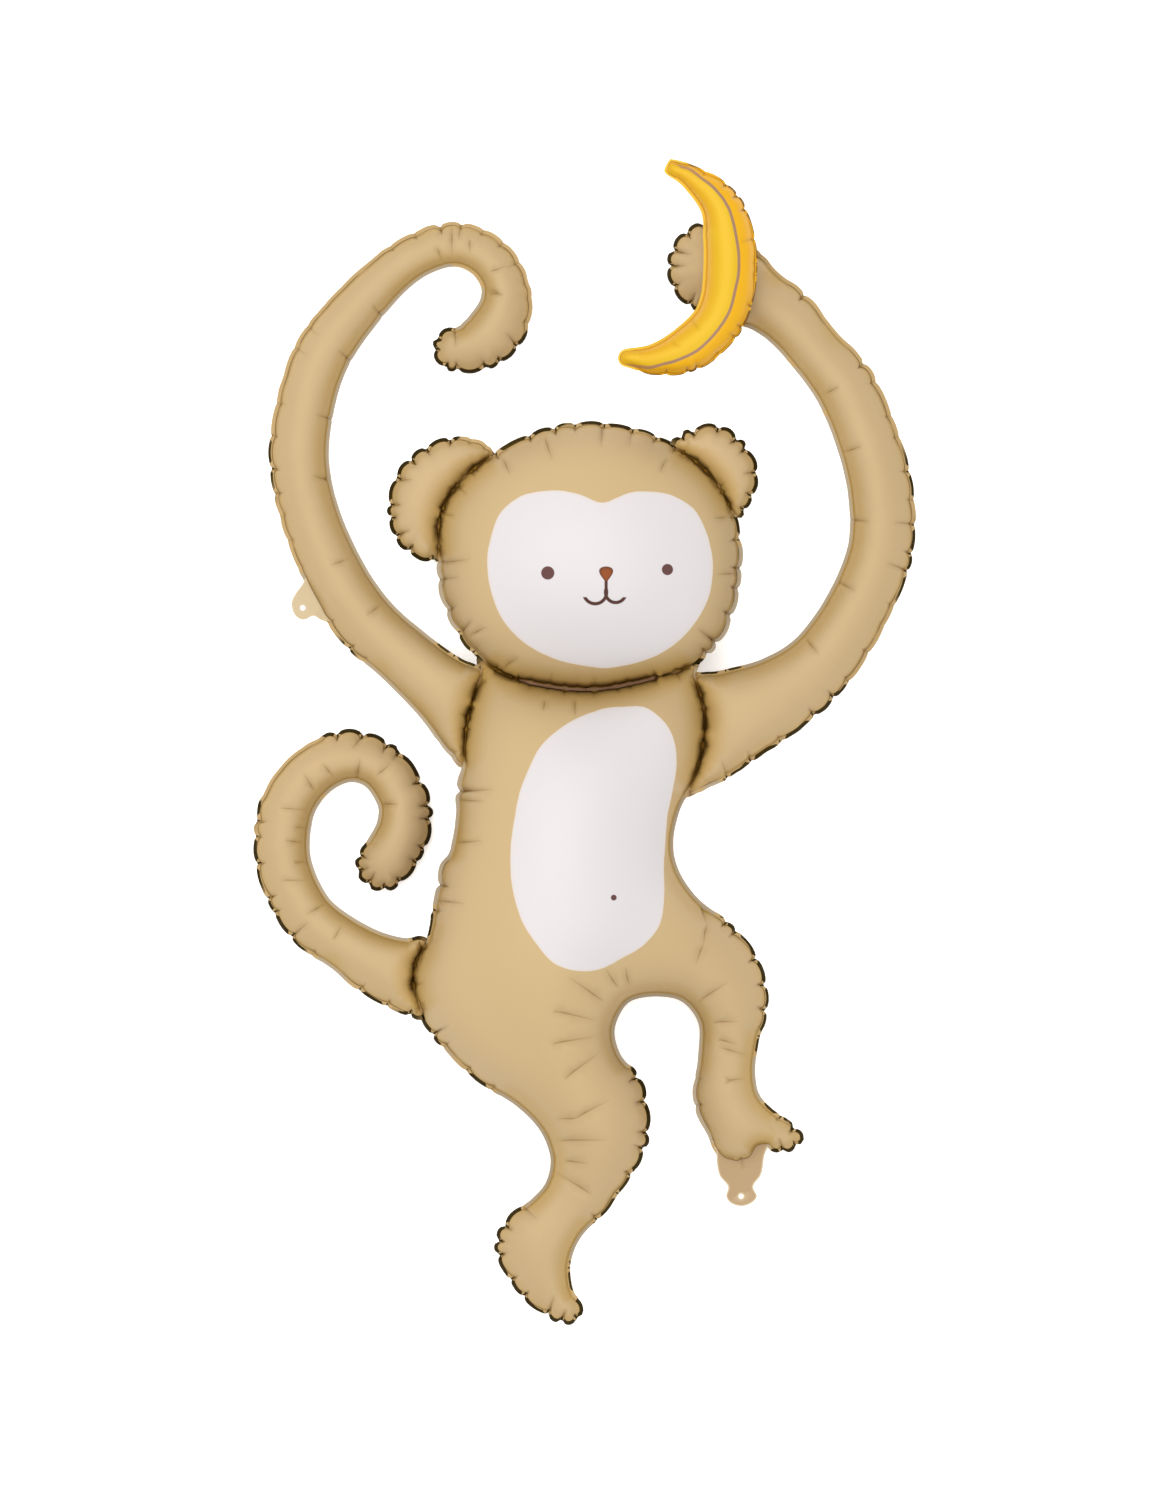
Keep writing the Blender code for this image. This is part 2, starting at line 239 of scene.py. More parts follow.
def lobeLoops(points, triangles, lobes):
    # the closed line round the air in each lobe, in order, with the air on its left
    loops = []
    for lobe in range(lobes.max() + 1):
        own = triangles[lobes == lobe]
        directed = {(a, b) for t in own.tolist() for a, b in ((t[0], t[1]), (t[1], t[2]), (t[2], t[0]))}
        following = {a: b for a, b in directed if (b, a) not in directed}
        longest = []
        while following:
            start, after = following.popitem()
            chain = [start]
            while after in following:
                chain.append(after)
                after = following.pop(after)
            if len(chain) > len(longest):
                longest = chain
        loops.append(points[longest])
    return loops


# Puckers along the seams, the same rules for both balloons
puckers = {
    "settle": 0.008,  # how far along the seam one state takes to become the next
    "rimSettle": 0.012,
    "openSettle": 0.010,
    "lookPast": 0.0015,  # how far past the welded edge another lobe is looked for
    "liveliest": 1.15,
    "tightest": 36.0,  # the sharpest curve that still brings the pinches closer together
    "swell": (0.65, 1.2),
    "turned": (0.55, 1.1),
    "upwards": 0.35,  # share of the puckers that bulge upwards
    "pinch": (0.5, 1.2),
    "weakest": 0.2,  # a weaker pinch makes no fold
    "shortest": 0.35,
    "foldLengths": (0.7, 1.0, 2.4),
    "foldShares": (0.56, 0.32, 0.12),
    "tilt": 0.16,
}


def wrapSmooth(values, width):
    # a running mean round a closed line, twice over
    count = max(1, int(width) | 1)
    kernel = np.ones(count) / count
    for _ in range(2):
        wrapped = np.concatenate([values[-count:], values, values[:count]])
        values = np.convolve(wrapped, kernel, "same")[count:-count]
    return values


def seamRun(pattern, outline, lobe, look, rng):
    # what the seam does along one lobe's loop: where it curves, where it is free, where it puckers
    pace = look["seamStep"]
    settle = puckers["settle"] / pace
    steps = evenSteps(outline, pace, closed=True)
    out = normalsOut(steps)
    heading = np.unwrap(np.arctan2(out[:, 1], out[:, 0]))
    turn = np.diff(np.concatenate([heading, [heading[0] + 2 * math.pi]]))
    bend = wrapSmooth(turn / pace, look["bendSpan"] / pace)
    beyond = steps + out * (pattern["seamWidth"] + puckers["lookPast"])
    welded = lobeOf(pattern, beyond) >= 0
    liveliness = np.clip(look["straight"] + look["perBend"] * bend, look["least"], 1.0)
    liveliness = np.where(welded, look["welded"], liveliness)
    lying, held, heldTurn, openWeld = np.zeros((4, len(steps)))
    for x, y, radius, factor in look["spots"]:
        liveliness[nearSpot(steps, x, y, radius)] *= factor
    for spot in look["flatRims"]:
        lying[nearSpot(steps, *spot)] = 1.0
    for x, y, radius, share in look["rimTurns"]:
        near = nearSpot(steps, x, y, radius)
        held[near] = 1.0
        heldTurn[near] = share
    for spot in look["openWelds"]:
        openWeld[nearSpot(steps, *spot)] = 1.0 if lobe == 0 else 0.5  # wholly open on the head's side

    # pinches at uneven pitch, closer together where the seam curves more
    pitch = look["pitch"] / (1.0 + look["pitchPerBend"] * bend.clip(0.0, puckers["tightest"]))
    progress = np.concatenate([[0.0], np.cumsum(pace / pitch)])
    total = progress[-1]
    count = max(3, int(round(total)))
    places = (np.arange(count) + rng.uniform(-look["uneven"], look["uneven"], count)) / count * total
    places = np.sort(places % total)
    around = np.concatenate([[places[-1] - total], places, [places[0] + total]])
    up = puckers["upwards"]
    return {
        "points": steps,
        "out": out,
        "bend": bend,
        "liveliness": np.clip(wrapSmooth(liveliness, settle), 0.0, puckers["liveliest"]),
        "lying": wrapSmooth(lying, puckers["rimSettle"] / pace),
        "held": wrapSmooth(held, settle),
        "heldTurn": wrapSmooth(heldTurn, settle),
        "openWeld": wrapSmooth(openWeld, puckers["openSettle"] / pace),
        "welded": wrapSmooth(welded.astype(float), settle),
        "phase": np.interp(progress[:-1], around, np.arange(-1, count + 1)),
        "count": count,
        "pinchAt": np.searchsorted(progress, places).clip(0, len(steps) - 1),
        "swell": rng.uniform(*puckers["swell"], count + 1),
        "wave": rng.choice([-1.0, 1.0], count + 1, p=[1.0 - up, up]),
        "turned": rng.uniform(*puckers["turned"], count + 1),
    }


def pinchFolds(run, look, rng):
    # a fold runs in from each pinch: both ends, how deep it is, and the share of that at its start
    folds = []
    for k in run["pinchAt"]:
        strength = run["liveliness"][k] * rng.uniform(*puckers["pinch"])
        if strength < puckers["weakest"]:
            continue
        length = look["foldLength"] * (puckers["shortest"] + (1.0 - puckers["shortest"]) * strength)
        length *= rng.choice(puckers["foldLengths"], p=puckers["foldShares"])
        length /= 1.0 + look["shorterPerBend"] * max(run["bend"][k], 0.0)
        tilt = rng.normal(0.0, puckers["tilt"])
        inward = -run["out"][k]
        across = np.array([-inward[1], inward[0]])
        start = run["points"][k]
        end = start + (inward * math.cos(tilt) + across * math.sin(tilt)) * length
        folds.append((*start, *end, look["pinchDepth"] * strength, 1.0))
    return folds


def foldPoints(folds, spacing, gap):
    # a line down each fold, and a row on both sides of it
    starts, ends, rows = [], [], []
    for x0, y0, x1, y1, *_ in folds:
        a, b = np.array([x0, y0]), np.array([x1, y1])
        length = np.linalg.norm(b - a)
        way = (b - a) / length
        side = np.array([-way[1], way[0]])
        line = a + way * np.linspace(0.0, length, max(3, int(length / spacing) + 1))[:, None]
        line = line[1:]
        starts.append(line[:-1])
        ends.append(line[1:])
        rows += [line + side * gap, line - side * gap]
    return np.vstack(starts), np.vstack(ends), np.vstack(rows)


def thinned(fixed, rows):
    # adds the rows in turn, leaving out any point that stands too close to one already there
    cell = 0.004
    closest = 0.62  # share of its spacing that a point keeps free
    grid = {}

    def taken(x, y, reach):
        span = int(reach / cell) + 1
        i, j = int(x // cell), int(y // cell)
        for u in range(i - span, i + span + 1):
            for v in range(j - span, j + span + 1):
                for px, py in grid.get((u, v), ()):
                    if (px - x) ** 2 + (py - y) ** 2 < reach * reach:
                        return True
        return False

    for x, y in fixed:
        grid.setdefault((int(x // cell), int(y // cell)), []).append((x, y))
    kept = []
    for points, spacing in rows:
        for x, y in points.tolist():
            if not taken(x, y, closest * spacing):
                grid.setdefault((int(x // cell), int(y // cell)), []).append((x, y))
                kept.append((x, y))
    return np.array(kept)


def fieldPoints(low, high, step):
    rowHeight = step * math.sqrt(3) / 2
    rows = []
    for k in range(int((high[1] - low[1]) / rowHeight) + 1):
        xs = np.arange(low[0] + step / 2 * (k % 2), high[0], step)
        rows.append(np.column_stack([xs, np.full(len(xs), low[1] + k * rowHeight)]))
    return np.vstack(rows)


# The film as a membrane under even air pressure

def stiffness(points, triangles):
    a, b, c = (points[triangles[:, k]] for k in range(3))
    twice = np.abs((b[:, 0] - a[:, 0]) * (c[:, 1] - a[:, 1]) - (b[:, 1] - a[:, 1]) * (c[:, 0] - a[:, 0]))
    twice = np.maximum(twice, 1e-9)
    sides = np.stack([c - b, a - c, b - a], axis=1)
    local = np.einsum("tix,tjx->tij", sides, sides) / (2 * twice)[:, None, None]
    area = np.bincount(triangles.ravel(), np.repeat(twice / 6, 3), minlength=len(points))
    return local, area


def solved(triangles, local, extra, load, free, tolerance=1e-6):
    # conjugate gradients for (stiffness + extra) x = load, with x held at zero where not free
    n = len(load)
    corners = triangles.ravel()

    def pull(x):
        forces = np.einsum("tij,tj->ti", local, x[triangles])
        return np.where(free, np.bincount(corners, forces.ravel(), minlength=n) + extra * x, 0.0)

    diagonal = np.bincount(corners, np.einsum("tii->ti", local).ravel(), minlength=n) + extra
    scale = np.where(free & (diagonal > 0), 1.0 / np.maximum(diagonal, 1e-12), 0.0)
    x = np.zeros(n)
    rest = np.where(free, load, 0.0)
    ready = scale * rest
    way = ready.copy()
    size = first = rest @ ready
    for _ in range(1500):
        pulled = pull(way)
        step = size / (way @ pulled)
        x += step * way
        rest -= step * pulled
        ready = scale * rest
        bigger = rest @ ready
        if bigger < tolerance**2 * first:
            break
        way = ready + (bigger / size) * way
        size = bigger
    return x


def surfaceNormals(points, heights, triangles):
    spots = np.column_stack([points, heights])
    a, b, c = (spots[triangles[:, k]] for k in range(3))
    facing = np.cross(b - a, c - a)
    normals = np.column_stack([
        np.bincount(triangles.ravel(), np.repeat(facing[:, k], 3), minlength=len(points)) for k in range(3)])
    return normals / np.maximum(np.linalg.norm(normals, axis=1), 1e-12)[:, None]


# Folds pressed into the film
foldForm = {
    "margin": 0.012,  # how far round a fold the film is looked at
    "creaseStart": 0.35,  # a crease begins at this share of its depth
    "fullBy": 0.25,  # and is at its deepest by this share of its length
    "taper": 0.8,
    # width of the painted shade line down a crease
    "ontoRim": 0.008,  # how far a pinch runs out across the flat seam
    "creaseShadeWidth": 0.0011,
    "sharpDepth": 0.002,  # a fold of this depth takes its whole painted crease shade
}


def foldField(points, folds, width, widen):
    # how deep the folds press the film in at each point, and how much painted crease shade each point takes
    depth, line = np.zeros((2, len(points)))
    for x0, y0, x1, y1, deepest, startShare in folds:
        a, b = np.array([x0, y0]), np.array([x1, y1])
        length = np.linalg.norm(b - a)
        way = (b - a) / length
        boxed = np.abs(points - (a + b) / 2) < length / 2 + foldForm["margin"]
        near = np.flatnonzero(boxed.all(axis=1))
        offset = points[near] - a
        along = offset @ way
        across = np.abs(offset[:, 0] * way[1] - offset[:, 1] * way[0])
        share = (along / length).clip(0.0, 1.0)
        if startShare >= 1.0:
            past = np.maximum(-along - foldForm["ontoRim"], 0.0)
        else:
            past = np.maximum(np.abs(along - length / 2) - length / 2, 0.0)
        fade = startShare + (1.0 - startShare) * np.minimum(share / foldForm["fullBy"], 1.0)
        fade *= (1.0 - share) ** foldForm["taper"]
        away = np.hypot(across, past)
        reach = width + widen * np.maximum(along, 0.0)
        depth[near] = np.maximum(depth[near], deepest * fade * np.exp(-((away / reach) ** 2)))
        creaseShadeShare = fade * np.exp(-((away / foldForm["creaseShadeWidth"]) ** 2))
        creaseShadeShare *= min(1.0, deepest / foldForm["sharpDepth"])
        line[near] = np.maximum(line[near], creaseShadeShare)
    return depth, line


# One envelope of two films: reaches are in metres from the seam, and the rest are shares
filmForm = {
    "foldRow": 1.3,  # spacing of the points beside a fold, in fold gaps
    "tabInset": 0.0020,
    "holeMargin": 0.0016,
    "gateFullness": 0.9,
    "tabStart": 0.001,  # past the welded edge, where a tab leaves the seam
    "calmReach": 0.004,  # how soon the puckers die away on a tab
    "scallopPower": 0.8,
    "scallopDraw": 0.28,  # how far the pinches draw the seam back in, against the scallops
    "scallopReach": 0.007,
    "weldHold": 0.75,
    "openHold": 0.8,
    "overWeldReach": 0.006,
    "waveReach": 0.010,
    "pillowReach": 0.009,
    "pillowStart": 0.002,
    "turnGain": 1.6,
    "turnAtPinch": 0.7,
    "narrowGain": 2.5,
    "closest": 0.0002,  # between the two films
    "layerGap": 0.0003,
    "smoothAngle": 55.0,
}


def planMesh(pattern, look, creases, rng):
    # the plan's points, triangles and lobes, what the seams do, and every fold
    starts, ends = weldedLines(pattern)
    points, triangles, lobes = triangulated(pattern, starts, ends, np.zeros((0, 2)))
    loops = lobeLoops(points, triangles, lobes)
    runs = [seamRun(pattern, loop, lobe, look, rng) for lobe, loop in enumerate(loops)]
    folds = [fold for run in runs for fold in pinchFolds(run, look, rng)]
    for x0, y0, x1, y1, depth in creases:
        deepest = look["creaseDepth"] * depth
        folds.append((*placed((x0, y0)), *placed((x1, y1)), deepest, foldForm["creaseStart"]))
    foldStarts, foldEnds, foldRows = foldPoints(folds, look["foldStep"], look["foldGap"])

    # rows of further points with their spacing, from the finest to the coarsest
    rows = [(foldRows, look["foldGap"] * filmForm["foldRow"])]
    rims = [grown(seam, pattern["seamWidth"] / 2) for seam in pattern["seams"]]
    rows.append((np.vstack(rims), look["seamStep"]))
    if pattern["flats"]:
        inner = [grown(tab, -filmForm["tabInset"]) for tab in pattern["flats"]]
        inner += [grown(hole, filmForm["holeMargin"]) for hole in pattern["holes"]]
        rows.append((np.vstack(inner), look["seamStep"]))
    for inset, spacing in look["rings"]:
        rows.append((np.vstack([run["points"] - run["out"] * inset for run in runs]), spacing))
    step = look["fieldStep"]
    rows.append((fieldPoints(starts.min(axis=0), starts.max(axis=0), step), step))
    others = thinned(np.vstack([starts, ends, foldStarts, foldEnds]), rows)
    lineStarts, lineEnds = np.vstack([starts, foldStarts]), np.vstack([ends, foldEnds])
    return *triangulated(pattern, lineStarts, lineEnds, others), runs, folds


def airRise(pattern, points, triangles, lobes):
    # how high even pressure lifts the film; air also passes the small gates left in the welds
    middles = points[triangles].mean(axis=1)
    airy = lobes >= 0
    for gate in pattern["gates"]:
        airy |= nearSpot(middles, *gate)
    fixed = np.zeros(len(points), bool)
    fixed[triangles[~airy].ravel()] = True
    pairs = np.sort(triangles[:, [0, 1, 1, 2, 2, 0]].reshape(-1, 2), axis=1)
    unique, uses = np.unique(pairs, axis=0, return_counts=True)
    fixed[unique[uses == 1].ravel()] = True
    local, area = stiffness(points, triangles[airy])
    sag = solved(triangles[airy], local, np.zeros(len(points)), area, ~fixed)
    corners = triangles[lobes >= 0].ravel()
    shares = np.repeat(np.array(pattern["fullness"])[lobes[lobes >= 0]], 3)
    weight = np.bincount(corners, minlength=len(points))
    fullness = np.bincount(corners, shares, minlength=len(points)) / np.maximum(weight, 1)
    fullness = np.where(weight > 0, fullness, filmForm["gateFullness"])
    return fullness * np.sqrt(2 * np.maximum(sag, 0.0))


def weldPlane(nodeName, points, triangles, span):
    # the height of the welds, read half-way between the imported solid's two films and smoothed
    tree = BVHTree.FromObject(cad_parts[nodeName], bpy.context.evaluated_depsgraph_get())
    plane = np.full(len(points), np.nan)
    for k, (x, y) in enumerate(points.tolist()):
        above = tree.ray_cast(Vector((x, y, 1.0)), Vector((0, 0, -1)))[0]
        below = tree.ray_cast(Vector((x, y, -1.0)), Vector((0, 0, 1)))[0]
        if above and below:
            plane[k] = (above.z + below.z) / 2
    missed = np.isnan(plane)
    plane[missed] = plane[~missed][nearest(points[missed], lineTree(points[~missed]))[0]]
    local, area = stiffness(points, triangles)
    return solved(triangles, local * span**2, area, area * plane, np.ones(len(points), bool), tolerance=1e-7)


def alongSeams(points, triangles, lobes, runs):
    # each point's place along the nearest seam, and all that the seam does there
    owner = np.full(len(points), -1)
    for lobe in range(len(runs)):
        owner[triangles[lobes == lobe].ravel()] = lobe
    onFlat = np.zeros(len(points), bool)
    onFlat[triangles[lobes < 0].ravel()] = True
    offsets = np.cumsum([0] + [len(run["points"]) for run in runs])
    seam, away = np.zeros(len(points), int), np.zeros(len(points))
    for lobe, run in enumerate(runs):
        own = (owner == lobe) & ~onFlat
        at, away[own] = nearest(points[own], lineTree(run["points"]))
        seam[own] = at + offsets[lobe]
    whole = np.concatenate([run["points"] for run in runs])
    seam[onFlat], away[onFlat] = nearest(points[onFlat], lineTree(whole))

    there = {}
    for key in ("out", "bend", "welded", "liveliness", "phase", "lying", "held", "heldTurn", "openWeld"):
        there[key] = np.concatenate([run[key] for run in runs])[seam]
    # each stretch between two pinches has a swell, a wave and a turn of its own
    interval = np.floor(there["phase"]).astype(int)
    whose = np.searchsorted(offsets, seam, side="right") - 1
    counts = np.array([run["count"] for run in runs])
    slots = np.cumsum([0] + [len(run["swell"]) for run in runs])
    slot = slots[whose] + np.mod(interval, counts[whose])
    for key in ("swell", "wave", "turned"):
        there[key] = np.concatenate([run[key] for run in runs])[slot]
    there["between"] = there["phase"] - interval
    there["onFlat"] = onFlat
    there["away"] = away
    there["inward"] = np.where(onFlat, 0.0, away)
    past = np.einsum("ij,ij->i", points - whole[seam], there["out"])
    there["outward"] = np.where(onFlat, np.maximum(past, 0.0), 0.0)
    return there


def envelope(name, pattern, look, creases, nodeName, topLimit=None, bottomLimit=0.0):
    rng = np.random.default_rng(figure["seed"])
    points, triangles, lobes, runs, folds = planMesh(pattern, look, creases, rng)
    print(name, "plan:", len(points), "points,", len(triangles), "triangles a film,", len(folds), "folds")
    rise = airRise(pattern, points, triangles, lobes)
    print(name, "rise up to", round(float(rise.max()), 4))
    plane = weldPlane(nodeName, points, triangles, look["planeSpan"])
    there = alongSeams(points, triangles, lobes, runs)
    out, onFlat, welded, inward = (there[key] for key in ("out", "onFlat", "welded", "inward"))
    beyond = np.maximum(there["away"] - pattern["seamWidth"] - filmForm["tabStart"], 0.0) * onFlat
    calm = np.exp(-beyond / filmForm["calmReach"])  # on a tab, away from every seam, nothing puckers
    arch = np.sin(math.pi * there["between"].clip(0.0, 1.0))
    free = 1.0 - welded

    # between its pinches the seam swells outwards, waves up or down, and turns its rim under
    puff = there["liveliness"] * there["swell"] * calm
    spread = look["scallop"] * puff * (arch ** filmForm["scallopPower"] - filmForm["scallopDraw"])
    spread *= np.exp(-inward / filmForm["scallopReach"]) * (1.0 - filmForm["weldHold"] * welded)
    closed = 1.0 - filmForm["openHold"] * (2.0 * there["openWeld"]).clip(0.0, 1.0)
    spread += look["overWeld"] * welded * closed * calm * np.exp(-inward / filmForm["overWeldReach"])
    lift = look["wave"] * puff * there["wave"] * arch * np.exp(-inward / filmForm["waveReach"])
    swelling = look["pillow"] * puff * arch * np.exp(-inward / filmForm["pillowReach"])
    swelling *= 1.0 - np.exp(-inward / filmForm["pillowStart"])
    turnedShare = there["liveliness"] * there["turned"] * calm
    turnDown = np.radians(look["turnDown"]) * (filmForm["turnGain"] * turnedShare).clip(0.0, 1.0)
    turnDown *= filmForm["turnAtPinch"] + (1.0 - filmForm["turnAtPinch"]) * arch
    turnDown *= free * (1.0 - there["lying"])
    flap = np.minimum(there["outward"], pattern["seamWidth"])
    stillness = 1.0 - (filmForm["narrowGain"] * there["liveliness"]).clip(0.0, 1.0)
    narrowed = look["narrowed"] * stillness * free * calm
    flatShift = spread + flap * (np.cos(turnDown) - 1.0 - narrowed)
    flatDrop = lift - flap * np.sin(turnDown)

    pressed, creaseShades = foldField(points, folds, look["foldWidth"], look["foldWiden"])
    films = []
    for side in (1, -1):
        heights = plane + side * (rise + look["film"] / 2)
        normals = surfaceNormals(points, heights, triangles) * side
        normals = np.where(onFlat[:, None], np.column_stack([out, np.zeros(len(out))]), normals)
        inDepth = np.where(onFlat, np.minimum(pressed, look["rimFold"]) * calm, pressed)
        spots = np.column_stack([points, heights])
        spots += normals * (swelling - inDepth)[:, None]
        spots[:, :2] += out * np.where(onFlat, flatShift, spread)[:, None]
        spots[:, 2] += np.where(onFlat, flatDrop, lift)
        films.append(spots)
    top, bottom = films
    bottom[:, 2] = np.maximum(bottom[:, 2], bottomLimit)
    top[:, 2] = np.maximum(top[:, 2], bottom[:, 2] + np.where(onFlat, look["film"], filmForm["closest"]))
    if topLimit is not None:
        outline, level = topLimit
        under = insideOf(points, outline)
        top[under, 2] = np.minimum(top[under, 2], level)
        bottom[under, 2] = np.minimum(bottom[under, 2], level - filmForm["layerGap"])

    made = closedFilm(name, points, triangles, top, bottom)
    ownTurn = (1.0 - there["lying"]) * (1.0 - there["held"]) * there["liveliness"] * there["turned"]
    for key, values in {
        "seamPhase": there["between"],
        "seamIn": inward,
        "seamOut": there["outward"],
        "seamBend": there["bend"] / 100,
        "weldSide": welded * calm,
        "seamTurned": (ownTurn + there["heldTurn"]) * calm,
        "creaseShadeLine": creaseShades,
        "loft": rise,
        "openWeld": there["openWeld"] * calm,
    }.items():
        setAttribute(made, key, values)
    return made, points


def addAttribute(mesh, key, kind, values):
    mesh.attributes.new(key, kind, "POINT").data.foreach_set("value", values)


def closedFilm(name, points, triangles, top, bottom):
    # a flat cut of film, extruded to a second film, and both set where the air holds them
    apart = 0.001  # only for as long as the two films are flat
    mesh = bpy.data.meshes.new(name)
    mesh.from_pydata([(x, y, 0.0) for x, y in points.tolist()], [], triangles.tolist())
    addAttribute(mesh, "planIndex", "INT", np.arange(len(points), dtype=np.int32))
    made = bpy.data.objects.new(name, mesh)
    bpy.context.scene.collection.objects.link(made)
    bpy.ops.object.select_all(action="DESELECT")
    made.select_set(True)
    bpy.context.view_layer.objects.active = made
    bpy.ops.object.mode_set(mode="EDIT")
    bpy.ops.mesh.select_all(action="SELECT")
    bpy.ops.mesh.extrude_region_move(TRANSFORM_OT_translate={"value": (0.0, 0.0, apart)})
    bpy.ops.mesh.select_all(action="SELECT")
    bpy.ops.mesh.quads_convert_to_tris()
    bpy.ops.mesh.normals_make_consistent(inside=False)
    bpy.ops.object.mode_set(mode="OBJECT")
    count = len(mesh.vertices)
    where = np.zeros(count * 3, np.float32)
    mesh.vertices.foreach_get("co", where)
    upper = where.reshape(-1, 3)[:, 2] > apart / 2
    plan = np.zeros(count, np.int32)
    mesh.attributes["planIndex"].data.foreach_get("value", plan)
    where = np.where(upper[:, None], top[plan], bottom[plan]).astype(np.float32)
    mesh.vertices.foreach_set("co", where.ravel())
    addAttribute(mesh, "frontFilm", "FLOAT", upper.astype(np.float32))
    mesh.update()
    bpy.ops.object.shade_smooth_by_angle(angle=math.radians(filmForm["smoothAngle"]))
    return made


def setAttribute(made, key, frontValues, backValues=None):
    # one value for each point of the plan, the same on both films unless the back has its own
    if backValues is None:
        backValues = frontValues
    mesh = made.data
    count = len(mesh.vertices)
    plan, upper = np.zeros(count, np.int32), np.zeros(count, np.float32)
    mesh.attributes["planIndex"].data.foreach_get("value", plan)
    mesh.attributes["frontFilm"].data.foreach_get("value", upper)
    values = np.where(upper > 0.5, frontValues[plan], backValues[plan]).astype(np.float32)
    addAttribute(mesh, key, "FLOAT", values)


# The monkey

monkey = {
    "seamWidth": 0.006,
    "film": 0.0005,
    "holeRadius": 0.003,
    "bodyFullness": 0.86,
    "headFullness": 0.86,
    "earFullness": 0.88,
    "limbFullness": 0.97,
    # fineness of the film
    "seamStep": 0.0025,
    "rings": ((0.0014, 0.0025), (0.0037, 0.0026), (0.0068, 0.0030), (0.0108, 0.0038), (0.0158, 0.0050),
              (0.0220, 0.0062)),
    "fieldStep": 0.0074,
    "foldStep": 0.0028,
    "foldGap": 0.0013,
    "planeSpan": 0.010,
    # how the seam puckers: 1 at a tight outward curve, little where it is straight or curves inwards
    "straight": 0.13,
    "perBend": 0.085,
    "least": 0.04,
    "welded": 0.42,
    "bendSpan": 0.016,
    "pitch": 0.036,
    "pitchPerBend": 0.035,
    "uneven": 0.26,
    "foldLength": 0.015,
    "shorterPerBend": 0.05,
    "pinchDepth": 0.0032,
    "foldWidth": 0.0021,
    "foldWiden": 0.07,
    "creaseDepth": 0.0028,
    "scallop": 0.0044,
    "wave": 0.0022,
    "pillow": 0.0013,
    "turnDown": 38.0,
    "rimFold": 0.0024,
    "overWeld": 0.0025,
    "narrowed": 0.26,
    # places in the drawing where the rim lies flat: x, y, radius
    "flatRims": (
        (441, 612, 52), (733, 606, 60), (469, 765, 34), (463, 815, 30), (450, 862, 22), (440, 905, 25),
        (695, 1110, 30),
    ),
    # and where it shows less or more of its turned rim, with its painted dark arcs, than elsewhere: x, y,
    # radius, share
    "rimTurns": (
        (290, 765, 44, 0.24), (490, 250, 40, 0.24), (522, 300, 30, 0.24), (440, 230, 34, 0.24),
        (395, 243, 34, 0.24), (345, 285, 44, 0.24), (305, 350, 42, 0.24), (284, 405, 28, 0.24),
        (745, 240, 32, 0.24), (785, 285, 42, 0.24), (825, 335, 42, 0.24), (865, 395, 42, 0.24),
        (474, 445, 16, 0.24), (462, 657, 28, 0.52), (722, 675, 22, 0.48), (612, 1196, 32, 0.52),
        (570, 1276, 17, 0.50), (776, 1110, 15, 0.55), (432, 922, 18, 0.48), (758, 760, 24, 0.62),
        (735, 776, 14, 0.45), (520, 447, 20, 0.60), (764, 1020, 14, 0.50), (757, 1042, 14, 0.50),
    ),
    # places where the seam is calmer or livelier: x, y, radius, factor
    "spots": (
        (290, 765, 44, 0.12), (480, 446, 12, 0.5), (646, 1125, 40, 3.2), (303, 600, 26, 0.2),
        (742, 1140, 34, 0.2), (790, 735, 62, 2.6), (556, 1170, 30, 0.4), (469, 765, 32, 2.6),
        (463, 815, 30, 2.6), (450, 862, 22, 2.6), (440, 905, 25, 2.6), (525, 440, 38, 1.6),
        (655, 445, 30, 1.4), (498, 255, 40, 0.35), (525, 300, 24, 0.35), (476, 664, 14, 0.15),
        (702, 676, 14, 0.15), (455, 748, 19, 0.12), (704, 786, 20, 0.25), (478, 446, 18, 0.5),
        (694, 1092, 17, 0.3), (395, 243, 34, 0.4), (345, 285, 44, 0.4), (305, 350, 42, 0.4),
    ),
    # where the weld between the chin and the chest lies open: x, y, radius
    "openWelds": ((548, 684, 26), (575, 690, 34), (606, 691, 34), (632, 685, 22)),
}

bodySeam = (
    (500, 640), (484, 678), (474, 706), (469, 730), (467, 760), (463, 790), (460, 820), (456, 846),
    (446, 874), (438, 908), (431, 938), (419, 962), (416, 980), (421, 1000), (431, 1024), (447, 1044),
    (480, 1076), (520, 1103), (543, 1127), (553, 1150), (554, 1168), (548, 1186), (535, 1201),
    (518, 1215), (504.5, 1232), (501.5, 1250), (509.5, 1270), (524, 1291), (542, 1306), (563, 1317),
    (577, 1312), (568, 1286), (567, 1260), (578, 1234), (604, 1205), (633, 1162), (643.5, 1128),
    (637.5, 1085), (616, 1054), (611, 1026), (626, 999), (655, 992), (684, 998), (702, 1022), (702, 1056),
    (698, 1094), (704, 1116), (713, 1137), (719, 1150), (727, 1157), (738, 1159), (749, 1155),
    (756, 1145), (767, 1143), (780, 1147), (797, 1139), (784, 1124), (758, 1100), (751, 1074),
    (754, 1044), (762, 1004), (756, 966), (730, 930), (694, 900), (674, 870), (669, 840), (676, 808),
    (688, 784), (698, 756), (702, 728), (700, 704), (692, 680), (676, 640),
)
headSeam = (
    (590, 428), (634, 434), (676, 452), (710, 480), (730, 516), (736, 556), (731, 600), (716, 636),
    (692, 661), (656, 675), (590, 687), (526, 679), (488, 661), (462, 630), (447, 594), (442, 552),
    (444, 514), (466, 480), (502, 454), (544, 435),
)
leftEarSeam = (
    (491, 462), (484, 449), (467, 443), (447, 444), (428, 452), (411, 465), (399, 483), (394, 504),
    (396, 526), (405, 543), (421, 553), (441, 556), (470, 540), (490, 500),
)
rightEarSeam = (
    (674, 455), (682, 441), (697, 434), (712, 431), (725, 435), (736, 444), (745, 455), (751, 468),
    (752, 481), (749, 493), (742, 505), (732, 514), (705, 505), (682, 480),
)

